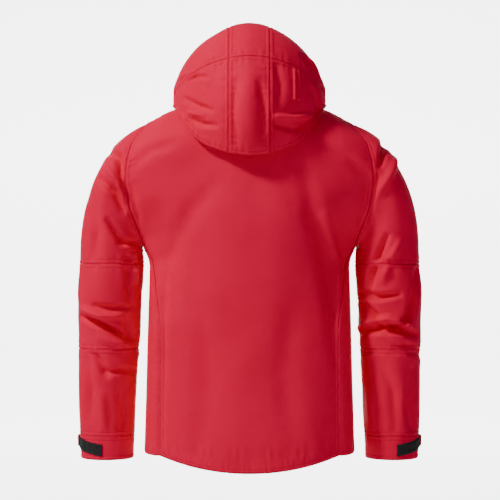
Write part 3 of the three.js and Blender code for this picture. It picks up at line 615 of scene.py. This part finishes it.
def cloth_material(name, colour, shade, bright, roughness, threads, ripstop, sheen=0.0,
                   stitched=True, bump=0.00006, thread_colour=None):
    """Woven fabric: threads, soft change of tone, rubbed high spots and sewn edges, with painted shade
    along the seam folds.
    """
    material = bpy.data.materials.new(name)
    material.use_nodes = True
    tree = material.node_tree
    link = tree.links.new
    shader = tree.nodes["Principled BSDF"]
    place = tree.nodes.new("ShaderNodeTexCoord")
    weave = use_group(tree, WEAVE, Threads=threads, Ripstop=ripstop)
    link(place.outputs["Object"], weave.inputs["Vector"])
    patches = node(tree, "ShaderNodeTexNoise", Scale=7.0, Detail=4.0, Roughness=0.55)
    link(place.outputs["Object"], patches.inputs["Vector"])
    ramp = tree.nodes.new("ShaderNodeValToRGB")
    ramp.color_ramp.elements[0].position = 0.3
    ramp.color_ramp.elements[0].color = (*shade, 1)
    ramp.color_ramp.elements[1].position = 0.72
    ramp.color_ramp.elements[1].color = (*bright, 1)
    middle = ramp.color_ramp.elements.new(0.5)
    middle.color = (*colour, 1)
    link(patches.outputs[0], ramp.inputs[0])
    tone = tree.nodes.new("ShaderNodeMix")
    tone.data_type = "RGBA"
    tone.blend_type = "SOFT_LIGHT"
    tone.inputs[0].default_value = 0.35
    link(ramp.outputs[0], tone.inputs[6])
    link(weave.outputs["Tone"], tone.inputs[7])
    result = tone.outputs[2]
    height = weave.outputs["Height"]
    if stitched:
        seam_map = tree.nodes.new("ShaderNodeUVMap")
        seam_map.uv_map = "seam"
        stitches = use_group(tree, STITCHES)
        link(seam_map.outputs[0], stitches.inputs["Seam"])
        # painted shade in the seam fold: the colour is mixed up to 30% towards a darker red at the
        # seam line
        seam_shade = tree.nodes.new("ShaderNodeMix")
        seam_shade.data_type = "RGBA"
        link(calculate(tree, "MULTIPLY", stitches.outputs["Seam_Shade"], 0.3), seam_shade.inputs[0])
        link(result, seam_shade.inputs[6])
        seam_shade.inputs[7].default_value = (*[0.7 * c for c in shade], 1)
        thread = tree.nodes.new("ShaderNodeMix")
        thread.data_type = "RGBA"
        link(calculate(tree, "MULTIPLY", stitches.outputs["Thread"], 0.6), thread.inputs[0])
        link(seam_shade.outputs[2], thread.inputs[6])
        thread.inputs[7].default_value = (*(thread_colour or [0.62 * c for c in shade]), 1)
        result = thread.outputs[2]
        height = calculate(tree, "MULTIPLY_ADD", stitches.outputs["Thread"], 6.0, height)
    link(result, shader.inputs["Base Color"])
    rub = node(tree, "ShaderNodeTexNoise", Scale=38.0, Detail=5.0)
    link(place.outputs["Object"], rub.inputs["Vector"])
    rough = tree.nodes.new("ShaderNodeMapRange")
    rough.inputs["To Min"].default_value = roughness - 0.07
    rough.inputs["To Max"].default_value = roughness + 0.09
    link(rub.outputs[0], rough.inputs["Value"])
    link(rough.outputs[0], shader.inputs["Roughness"])
    relief = tree.nodes.new("ShaderNodeBump")
    relief.inputs["Strength"].default_value = 0.55
    relief.inputs["Distance"].default_value = bump
    link(height, relief.inputs["Height"])
    soft = node(tree, "ShaderNodeTexNoise", Scale=60.0, Detail=3.0)
    link(place.outputs["Object"], soft.inputs["Vector"])
    swell = tree.nodes.new("ShaderNodeBump")
    swell.inputs["Strength"].default_value = 0.35
    swell.inputs["Distance"].default_value = 0.0008
    link(soft.outputs[0], swell.inputs["Height"])
    link(swell.outputs[0], relief.inputs["Normal"])
    link(relief.outputs[0], shader.inputs["Normal"])
    shader.inputs["Sheen Weight"].default_value = sheen
    shader.inputs["Sheen Roughness"].default_value = 0.45
    shader.inputs["Specular IOR Level"].default_value = 0.05
    return material


def hard_material(name, colour, worn, roughness, metal, grain=240.0, bump=0.00008):
    """Moulded or cast trim: fine grain, with paler scuffs."""
    material = bpy.data.materials.new(name)
    material.use_nodes = True
    tree = material.node_tree
    link = tree.links.new
    shader = tree.nodes["Principled BSDF"]
    place = tree.nodes.new("ShaderNodeTexCoord")
    scuffs = node(tree, "ShaderNodeTexNoise", Scale=grain * 0.6, Detail=6.0, Roughness=0.7)
    link(place.outputs["Object"], scuffs.inputs["Vector"])
    ramp = tree.nodes.new("ShaderNodeValToRGB")
    ramp.color_ramp.elements[0].position = 0.52
    ramp.color_ramp.elements[0].color = (*colour, 1)
    ramp.color_ramp.elements[1].position = 0.78
    ramp.color_ramp.elements[1].color = (*worn, 1)
    link(scuffs.outputs[0], ramp.inputs[0])
    link(ramp.outputs[0], shader.inputs["Base Color"])
    rough = tree.nodes.new("ShaderNodeMapRange")
    rough.inputs["To Min"].default_value = roughness - 0.08
    rough.inputs["To Max"].default_value = roughness + 0.12
    link(scuffs.outputs[0], rough.inputs["Value"])
    link(rough.outputs[0], shader.inputs["Roughness"])
    fine = node(tree, "ShaderNodeTexNoise", Scale=grain * 9, Detail=2.0)
    link(place.outputs["Object"], fine.inputs["Vector"])
    relief = tree.nodes.new("ShaderNodeBump")
    relief.inputs["Strength"].default_value = 0.3
    relief.inputs["Distance"].default_value = bump
    link(fine.outputs[0], relief.inputs["Height"])
    link(relief.outputs[0], shader.inputs["Normal"])
    shader.inputs["Metallic"].default_value = metal
    return material


def pile_material(name, colour, tip_highlight, size):
    """Hook or loop tape: a dense field of tiny tufts, with a painted highlight making the tuft tops
    paler.
    """
    material = bpy.data.materials.new(name)
    material.use_nodes = True
    tree = material.node_tree
    link = tree.links.new
    shader = tree.nodes["Principled BSDF"]
    place = tree.nodes.new("ShaderNodeTexCoord")
    tufts = tree.nodes.new("ShaderNodeTexVoronoi")
    tufts.inputs["Scale"].default_value = size
    link(place.outputs["Object"], tufts.inputs["Vector"])
    # painted highlight: the tuft tops at the cell centres are paler, fading to the pile colour
    ramp = tree.nodes.new("ShaderNodeValToRGB")
    ramp.color_ramp.elements[0].color = (*tip_highlight, 1)
    ramp.color_ramp.elements[1].position = 0.6
    ramp.color_ramp.elements[1].color = (*colour, 1)
    link(tufts.outputs["Distance"], ramp.inputs[0])
    link(ramp.outputs[0], shader.inputs["Base Color"])
    relief = tree.nodes.new("ShaderNodeBump")
    relief.invert = True
    relief.inputs["Strength"].default_value = 0.8
    relief.inputs["Distance"].default_value = 0.0006
    link(tufts.outputs["Distance"], relief.inputs["Height"])
    link(relief.outputs[0], shader.inputs["Normal"])
    rough = node(tree, "ShaderNodeTexNoise", Scale=90.0)
    link(place.outputs["Object"], rough.inputs["Vector"])
    spread = tree.nodes.new("ShaderNodeMapRange")
    spread.inputs["To Min"].default_value = 0.82
    spread.inputs["To Max"].default_value = 1.0
    link(rough.outputs[0], spread.inputs["Value"])
    link(spread.outputs[0], shader.inputs["Roughness"])
    return material


SHELL = cloth_material("red_shell_fabric", (0.84, 0.0012, 0.052), (0.79, 0.0010, 0.046),
                       (0.88, 0.0015, 0.057), 0.62, 3600.0, 0.5, sheen=0.01)
SHELL_PLAIN = cloth_material("red_shell_trim", (0.84, 0.0012, 0.052), (0.79, 0.0010, 0.046),
                             (0.88, 0.0015, 0.057), 0.62, 3600.0, 0.5, sheen=0.01, stitched=False)
BACKER = cloth_material("grey_knit_backer", (0.30, 0.31, 0.33), (0.24, 0.25, 0.27),
                        (0.36, 0.37, 0.39), 0.85, 2600.0, 0.0, sheen=0.2, stitched=False)
TAPE = cloth_material("black_woven_tape", (0.016, 0.016, 0.018), (0.010, 0.010, 0.011),
                      (0.026, 0.026, 0.029), 0.75, 2400.0, 0.0, sheen=0.1, stitched=False)
ZIP_FILM = cloth_material("red_zip_film", (0.46, 0.016, 0.030), (0.38, 0.010, 0.022),
                          (0.52, 0.022, 0.036), 0.36, 5200.0, 0.0, stitched=False, bump=0.00003)
# the second colour of each pile is the painted highlight on the tuft tops
LOOP_PILE = pile_material("black_loop_pile", (0.006, 0.006, 0.007), (0.030, 0.030, 0.033), 900.0)
HOOK_PILE = pile_material("black_hooks", (0.005, 0.005, 0.006), (0.045, 0.045, 0.05), 620.0)
PLASTIC = hard_material("black_moulded_plastic", (0.013, 0.013, 0.015), (0.05, 0.05, 0.055), 0.42, 0.0)
METAL = hard_material("dark_zinc", (0.07, 0.07, 0.08), (0.30, 0.30, 0.31), 0.34, 1.0, 300.0)


# ------------------------------------------------------------------ body pieces
CLOTH = (SHELL, BACKER)
FINE = 1.0 if FULL else 0.5


def count(n):
    return max(6, int(n * FINE))


def sewn(piece, body=None, node_names=(), bend=None):
    """Join a fabric piece to the body it moves with, or when bend is given only bake it in place; hide
    the frame nodes it stands in for.
    """
    if bend:
        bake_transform(piece)
    else:
        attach(piece, body)
    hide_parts(*node_names)


def swell(seed, strokes=(), size=70.0, height=2.0):
    """Relief for a panel: its creases with a soft uneven swell under them."""
    def relief(p, n):
        long = p * np.array([1, 1, 0.3])
        push = rumple(long, size, height, seed)
        push = push + rumple(long, size * 0.5, height * 0.2, seed + 3)
        if len(strokes):
            push = push + crease_field(p, strokes) * smoothstep(-0.1, 0.35, n[:, 1])
        return push
    return relief


def back_surface(u, v):
    return torso(mix(0.9995, -0.9995, u), mix(0.0, 1.998, v), 1)


def front_surface(sign):
    def surface(u, v):
        return torso(sign * mix(0.0005, 0.9995, u), mix(0.0, 1.996, v), -1)
    return surface


def back_relief(p, n):
    push = swell(1, BACK_CREASES, 95.0, 3.4)(p, n)
    hem = p[:, 2] - (HEM_Z - HEM_DROP * (1 - np.clip(np.abs(p[:, 0]) / SHOULDER_HALF, 0, 1) ** 2))
    push -= 1.1 * np.exp(-((hem - 35) / 1.8) ** 2)
    push += 0.5 * np.exp(-((hem - 40) / 3.0) ** 2)
    push += puckers(hem - 38, p[:, 0], 12, 0.45, 23, 4)
    return push


back = fabric("back_panel_cloth", back_surface, count(180), count(240), back_relief,
              outward=(0, -50, -350), materials=CLOTH)
sewn(back, "jacket_body", ["back_panel"])


for word, sign in (("left", 1), ("right", -1)):
    front = fabric(word + "_front_cloth", front_surface(sign), count(120), count(220),
                   swell(5 + sign, (), 80.0, 2.4), outward=(0, -50, -350), materials=CLOTH)
    sewn(front, "jacket_body", [word + "_front_panel"])

    def side_surface(u, v, sign=sign):
        turn = np.radians(mix(98, -98, u))      # the edges tuck under the panels beside them
        return side_panel(sign, turn, mix(0, UNDER_RISE, v))

    side = fabric(word + "_side_cloth", side_surface, count(60), count(160),
                  swell(9 + sign, (), 60.0, 1.2), outward=(0, -50, -420), materials=CLOTH)
    sewn(side, "jacket_body", [word + "_side_panel"])

# ------------------------------------------------------------------ sleeves
def tube(u):
    return mix(-math.pi, math.pi, u)


CUFF_SEAM, ELBOW_TOP, ELBOW_LOW, HEAD_FOOT = -655.0, -305.0, -478.0, -280.0
PATCH_Z = -670.0
BELOW_HEAD = 0.12         # share of the upper arm's length that hangs straight


def on_cuff(sign, angle, z, lift):
    """A point standing off the cuff, angle 0 outside, 90 degrees at the back."""
    p = hanging_sleeve(sign, angle, z)
    n = np.stack([sign * np.cos(angle) / sleeve_half(z), np.sin(angle) / sleeve_depth(z), 0 * z], -1)
    n /= np.linalg.norm(n, axis=1)[:, None]
    return p + n * np.reshape(lift, (-1, 1))


for word, sign, strokes in (("left", 1, LEFT_SLEEVE_CREASES), ("right", -1, RIGHT_SLEEVE_CREASES)):
    body, arm, lower = "jacket_body", word + "_sleeve", word + "_lower_sleeve"

    def sleeve_relief(p, n, sign=sign, strokes=strokes):
        push = swell(20 + sign, (), 60.0, 2.2)(p, n)
        push = push + 1.5 * crease_field(p, strokes) * smoothstep(-0.15, 0.3, n[:, 1])
        moved = p + np.array([sign * 7, 0, 14.0])
        return push + 0.8 * crease_field(moved, strokes) * smoothstep(0.15, -0.3, n[:, 1])

    def head_surface(u, v, sign=sign):
        angle = tube(u)
        t = np.clip((v - BELOW_HEAD) / (1 - BELOW_HEAD), 0, 1)
        curved = sleeve_head(sign, angle, 1 - t)
        z = mix(ELBOW_TOP - 0.2, HEAD_FOOT, np.clip(v / BELOW_HEAD, 0, 1))
        straight = hanging_sleeve(sign, angle, z)
        return np.where((v > BELOW_HEAD)[:, None], curved, straight)

    def straight_surface(low, high, sign=sign):
        def surface(u, v):
            return hanging_sleeve(sign, tube(u), mix(low, high, v))
        return surface

    # tube() starts and ends at the inside of the arm, where the two edges are joined
    upper = fabric(word + "_upper_arm_cloth", head_surface, count(190), count(190), sleeve_relief,
                   seams="BT", closed=True, outward=(sign * 262, -50, -190), materials=CLOTH)
    hinge = np.array([sign * 0.222, -0.050, -0.262])
    along_arm = np.array([sign * 0.7071, 0, -0.7071])
    sewn(upper, node_names=[word + "_sleeve_head", word + "_upper_sleeve"],
         bend=(body, arm, tuple(hinge - along_arm * 0.085), tuple(hinge + along_arm * 0.060)))

    elbow = fabric(word + "_elbow_cloth", straight_surface(ELBOW_LOW - 0.2, ELBOW_TOP + 0.2),
                   count(190), count(130), sleeve_relief, seams="BT", closed=True,
                   outward=(sign * 287, -50, -390), materials=CLOTH)
    sewn(elbow, node_names=[word + "_elbow_panel"],
         bend=(arm, lower, (sign * 0.288, -0.05, -0.315), (sign * 0.288, -0.05, -0.468)))

    forearm = fabric(word + "_forearm_cloth", straight_surface(CUFF_SEAM - 0.2, ELBOW_LOW + 0.2),
                     count(190), count(130), sleeve_relief, seams="BT", closed=True,
                     outward=(sign * 291, -66, -560), materials=CLOTH)
    sewn(forearm, lower, [word + "_forearm"])

    def cuff_relief(p, n, sign=sign):
        return swell(31 + sign, (), 40.0, 0.9)(p, n)

    cuff = fabric(word + "_cuff_cloth", straight_surface(CUFF_Z + 0.3, CUFF_SEAM + 0.2),
                  count(190), count(44), cuff_relief, seams="BT", closed=True,
                  outward=(sign * 292, -68, -680), materials=CLOTH, wall=1.4)
    sewn(cuff, lower, [word + "_cuff"])
    def loop_patch_surface(u, v, sign=sign):
        angle = np.radians(mix(-28, 84, u))
        z = PATCH_Z - 14.0 * np.clip(np.degrees(angle) / 84, 0, 1) + mix(-12, 12, v)
        return on_cuff(sign, angle, z, 2.0)

    patch = fabric(word + "_loop_patch_cloth", loop_patch_surface, count(120), count(36),
                   swell(41, (), 14.0, 0.35), outward=(sign * 292, -68, -680),
                   materials=(LOOP_PILE,), wall=1.5, seam_depth_mm=0.7)
    sewn(patch, lower, [word + "_cuff_loop_patch"])

    def tab_surface(u, v, sign=sign):
        degrees = mix(-74, 1.5, u)
        lift = 0.8 + 4.2 * smoothstep(-66, -34, degrees)
        round_end = 12 * (1 - 0.35 * smoothstep(-3.5, 1.5, degrees) ** 3)
        return on_cuff(sign, np.radians(degrees), PATCH_Z + round_end * mix(-1, 1, v), lift + 1.0)

    tab = fabric(word + "_tab_cloth", tab_surface, count(110), count(36), swell(43, (), 18.0, 0.4),
                 outward=(sign * 292, -68, -680), materials=(SHELL,), wall=1.5, seam_depth_mm=0.5)
    sewn(tab, word + "_tab", [word + "_cuff_tab"])

    def hook_surface(u, v, sign=sign):
        return on_cuff(sign, np.radians(mix(-23, 0.5, u)), PATCH_Z + mix(-9, 9, v), 3.6)

    hook = fabric(word + "_hook_pad", hook_surface, count(40), count(30), None,
                  outward=(sign * 292, -68, -680), materials=(HOOK_PILE,), wall=1.2,
                  seam_depth_mm=0.3)
    sewn(hook, word + "_tab", [word + "_cuff_hook"])

# ------------------------------------------------------------------ hood
NAPE_SEAM = 33.0
HOOD_CENTRE = (0, -40, 30)


def hood_relief(p, n):
    push = swell(51, (), 60.0, 2.2)(p, n)
    return push + 1.4 * crease_field(p, HOOD_CREASES) * smoothstep(0.0, 0.4, n[:, 1])


def hood_surface(a0, a1, b0, b1):
    def surface(u, v):
        return hood(mix(a0, a1, v), mix(b0, b1, u))
    return surface


TILT_BEND = ("jacket_body", "hood", (0, 0.098, -0.085), (0, 0.090, 0.099))
for word, b0, b1, wide in (("centre", EDGE_BETA, 180 - EDGE_BETA, 70), ("left", 14, EDGE_BETA, 110),
                           ("right", 180 - EDGE_BETA, 166, 110)):
    crown = fabric("hood_" + word + "_crown_cloth", hood_surface(NAPE_SEAM - 0.1, 126, b0, b1),
                   count(wide), count(150), hood_relief, outward=HOOD_CENTRE, materials=CLOTH)
    sewn(crown, "hood", ["hood_" + word + "_crown"])
    nape = fabric("hood_" + word + "_nape_cloth", hood_surface(-38, NAPE_SEAM + 0.1, b0, b1),
                  count(wide), count(140), hood_relief, outward=HOOD_CENTRE, materials=CLOTH)
    sewn(nape, node_names=["hood_" + word + "_nape"], bend=TILT_BEND)

brim = fabric("hood_brim_cloth", hood_surface(126.2, 136.8, 48.9, 131.1), count(120), count(36),
              swell(61, (), 30.0, 0.7), outward=HOOD_CENTRE, materials=(SHELL,), wall=2.6)
sewn(brim, "hood", ["hood_brim"])


def casing_surface(u, v):
    p = hood(mix(0.0, 31.0, v), 180 - mix(49.4, 56.0, u))
    out = p - np.array(HOOD_CENTRE)
    out /= np.linalg.norm(out, axis=1)[:, None]
    fade = np.minimum(1, 14 * np.minimum(v, 1 - v))
    two_ridges = 2.4 * np.sin(2 * math.pi * np.clip(u, 0, 1)) ** 2 * fade
    return p + out * (1.0 + two_ridges)[:, None]


casing = fabric("hood_adjuster_cloth", casing_surface, count(60), count(140), hood_relief,
                outward=HOOD_CENTRE, materials=(SHELL,), wall=1.0, seam_depth_mm=0.4)
sewn(casing, node_names=["hood_adjuster_casing"], bend=TILT_BEND)


# ------------------------------------------------------------------ collar, neck band, inside
def collar_surface(u, v):
    return collar(mix(0.001, 0.999, u), mix(0.0, 1.0, v))


collar_cloth = fabric("collar_cloth", collar_surface, count(220), count(60),
                      swell(71, (), 40.0, 0.9), outward=(0, -50, 20), materials=CLOTH, wall=3.2)
sewn(collar_cloth, "jacket_body", ["collar", "collar_lining"])

FOOT = [(126, 14), (98, 14), (52, 14), (8, 14), (-38, 14)]
ROUND = [(-38, b) for b in np.linspace(14, 166, 24)[1:]]
LOWER = np.array(FOOT + ROUND + [(a, 180 - b) for a, b in reversed(FOOT[:-1])], float)


def band_surface(low, high):
    def surface(u, v):
        k = mix(low, high, u)
        inner = collar(mix(0.058, 0.942, k), np.zeros_like(k), 2.8)
        inner[:, 2] += 12
        place = np.linspace(0, 1, len(LOWER))
        outer = hood(np.interp(k, place, LOWER[:, 0]), np.interp(k, place, LOWER[:, 1]))
        away = outer - np.array(HOOD_CENTRE)
        outer = outer - away / np.linalg.norm(away, axis=1)[:, None] * 3.6
        return clear_of_shoulders(inner + (outer - inner) * v[:, None], 5)
    return surface


for word, sign, low, high in (("left", 1, 0.0, 0.4995), ("right", -1, 0.5005, 1.0)):
    band = fabric("neck_band_" + word + "_cloth", band_surface(low, high), count(130), count(50),
                  swell(81, (), 40.0, 0.8), seams="BT", outward=(0, -50, 160), materials=CLOTH,
                  wall=1.0)
    sewn(band, node_names=["hood_neck_band"],
         bend=("jacket_body", "hood", (0, -0.05, -0.02), (sign * 0.170, -0.05, 0.03)))


def around(u, rise):
    """Once round the body, from the left zip edge by the back to the right zip edge."""
    ends = [0, 0.19, 0.30, 0.70, 0.81, 1.0]
    part = [np.clip((u - a) / (b - a), 0, 1) for a, b in zip(ends, ends[1:])]
    left = torso(mix(0.02, 0.995, part[0]), rise, -1)
    left_side = side_panel(1, np.radians(mix(-88, 88, part[1])), rise)
    behind = torso(mix(0.995, -0.995, part[2]), rise, 1)
    right_side = side_panel(-1, np.radians(mix(88, -88, part[3])), rise)
    right = torso(-mix(0.995, 0.02, part[4]), rise, -1)
    p = left
    for start, piece in zip(ends[1:], (left_side, behind, right_side, right)):
        p = np.where((u > start)[:, None], piece, p)
    return p


facing = fabric("hem_facing_cloth", lambda u, v: around(u, mix(0.006, 0.058, v)), count(300),
                count(24), None, seams="BT", outward=(0, -50, -690), materials=(BACKER,),
                wall=1.1, lift=-4.4, seam_depth_mm=0.3)
sewn(facing, "jacket_body", ["hem_facing"])


def flap_surface(u, v):
    z = mix(-650.0, 34.0, v)
    x = mix(17.0, -26.0, u)
    return np.stack([x, BODY_Y - front_depth(z) + 3.9 + 0.9 * smoothstep(-9, -24, x), z], -1)


flap = fabric("storm_flap_cloth", flap_surface, count(30), count(220), None,
              outward=(0, 50, -300), materials=(SHELL,), wall=1.1, seam_depth_mm=0.3)
sewn(flap, "jacket_body", ["storm_flap"])


def bag_surface(sign):
    def surface(u, v):
        z = mix(-638.0, -412.0, v)
        x = mix(48.0, 134.0, u)
        rise = (z - HEM_Z) / (ridge(x) - shoulder_round(x) - HEM_Z)
        return torso(sign * (x - ZIP_HALF) / (seam_x(z) - ZIP_HALF), rise, -1)
    return surface


for word, sign in (("left", 1), ("right", -1)):
    bag = fabric(word + "_pocket_bag_cloth", bag_surface(sign), count(60), count(120),
                 swell(91, (), 50.0, 0.5), outward=(0, -50, -500), materials=(BACKER,), wall=1.4,
                 lift=-4.6, seam_depth_mm=0.2)
    sewn(bag, "jacket_body", [word + "_pocket_bag"])


def loop_surface(u, v):
    x = mix(-32.5, 32.5, u)
    low = station([(0, 0), (8, 0.5), (17, 4), (28, 11), (33, 14)], np.abs(x), 2)
    y = mix(0.4, -2.6, smoothstep(15, 33, np.abs(x)))
    return np.stack([x, y, low + mix(0.2, 8.8, v)], -1)


loop = fabric("hang_loop_tape", loop_surface, count(90), count(16), None, outward=(0, -60, 5),
              materials=(TAPE,), wall=1.1, seam_depth_mm=0.2)
sewn(loop, "jacket_body", ["hang_loop"])

# ------------------------------------------------------------------ hard trims and zips
FINISHES = [
    (("zip_tape",), ZIP_FILM), (("zip_coil", "pocket_zip"), ZIP_FILM),
    (("zip_slider", "pocket_slider", "zip_bottom_box"), METAL),
    (("zip_pull", "pocket_pull"), TAPE), (("hem_lock",), PLASTIC), (("zip_garage",), SHELL_PLAIN),
]
for name in [part["node"] for part in frame["record"]["subparts"]]:
    for words, material in FINISHES:
        if any(w in name for w in words):
            shape = bpy.data.objects[name].data
            shape.materials.clear()
            shape.materials.append(material)
            break

# ------------------------------------------------------------------ floor, light and camera
STUDIO = bpy.data.materials.new("pale_studio_paper")
STUDIO.use_nodes = True
STUDIO.node_tree.nodes["Principled BSDF"].inputs["Base Color"].default_value = (0.93, 0.93, 0.93, 1)
STUDIO.node_tree.nodes["Principled BSDF"].inputs["Roughness"].default_value = 0.9
STUDIO.node_tree.nodes["Principled BSDF"].inputs["Emission Strength"].default_value = 4.5


def lit_paper(tree):
    """The paper is lit from behind only in a patch beyond the jacket, fading out round it."""
    place = tree.nodes.new("ShaderNodeTexCoord")
    split = tree.nodes.new("ShaderNodeSeparateXYZ")
    tree.links.new(place.outputs["Object"], split.inputs[0])
    parts = []
    for axis, dark, bright in ((0, 2.9, 1.9), (2, 2.2, 1.5)):
        fade = node(tree, "ShaderNodeMapRange")
        fade.inputs["From Min"].default_value = dark
        fade.inputs["From Max"].default_value = bright
        tree.links.new(calculate(tree, "ABSOLUTE", split.outputs[axis]), fade.inputs["Value"])
        parts.append(fade.outputs[0])
    deep = node(tree, "ShaderNodeMapRange")
    deep.inputs["From Min"].default_value = -1.6
    deep.inputs["From Max"].default_value = -2.3
    tree.links.new(split.outputs[1], deep.inputs["Value"])
    patch = calculate(tree, "MULTIPLY", parts[0], parts[1])
    patch = calculate(tree, "MULTIPLY", patch, deep.outputs[0])
    tree.links.new(patch, tree.nodes["Principled BSDF"].inputs["Emission Color"])


lit_paper(STUDIO.node_tree)


def paper_sweep():
    """Floor that curves up into a backdrop, far enough behind to stay free of shadows."""
    bm = bmesh.new()
    profile = [(7.0, -1.15), (-4.4, -1.15)]
    profile += [(-4.4 - 1.4 * math.sin(a), -1.15 + 1.4 * (1 - math.cos(a)))
                for a in np.linspace(0.1, math.pi / 2, 16)]
    profile += [(-5.8, 7.0)]
    rows = [[bm.verts.new((x, y, z)) for x in (-8, 8)] for y, z in profile]
    for low, high in zip(rows, rows[1:]):
        bm.faces.new((low[0], low[1], high[1], high[0])).smooth = True
    bmesh.ops.recalc_face_normals(bm, faces=bm.faces)
    mesh = bpy.data.meshes.new("studio_paper")
    bm.to_mesh(mesh)
    bm.free()
    paper = bpy.data.objects.new("studio_paper", mesh)
    mesh.materials.append(STUDIO)
    bpy.context.collection.objects.link(paper)
    return paper


paper_sweep()


def softbox(name, place, aim, size, power):
    data = bpy.data.lights.new(name, "AREA")
    data.shape = "DISK"
    data.size = size
    data.energy = power
    lamp = bpy.data.objects.new(name, data)
    lamp.location = place
    lamp.rotation_euler = (Vector(aim) - Vector(place)).to_track_quat("-Z", "Y").to_euler()
    bpy.context.collection.objects.link(lamp)
    return lamp


softbox("key_light", (2.2, 1.35, 2.3), (0, -0.05, -0.25), 0.55, 118)
softbox("fill_light", (-1.2, 3.4, 0.4), (0, -0.05, -0.3), 1.6, 6)
softbox("front_light", (0.8, -2.8, 1.2), (0, -0.05, -0.3), 2.0, 1.5)

world = bpy.data.worlds.new("pale_room")
world.use_nodes = True
world.node_tree.nodes["Background"].inputs[0].default_value = (1, 1, 1, 1)
world.node_tree.nodes["Background"].inputs[1].default_value = 0.21
bpy.context.scene.world = world

camera_data = bpy.data.cameras.new("camera")
camera_data.lens = 112.4
camera_data.sensor_width = 36
camera = bpy.data.objects.new("camera", camera_data)
camera.location = (-0.001, 3.15, -0.277)
camera.rotation_euler = (math.radians(90), 0, math.radians(180))
bpy.context.collection.objects.link(camera)
bpy.context.scene.camera = camera
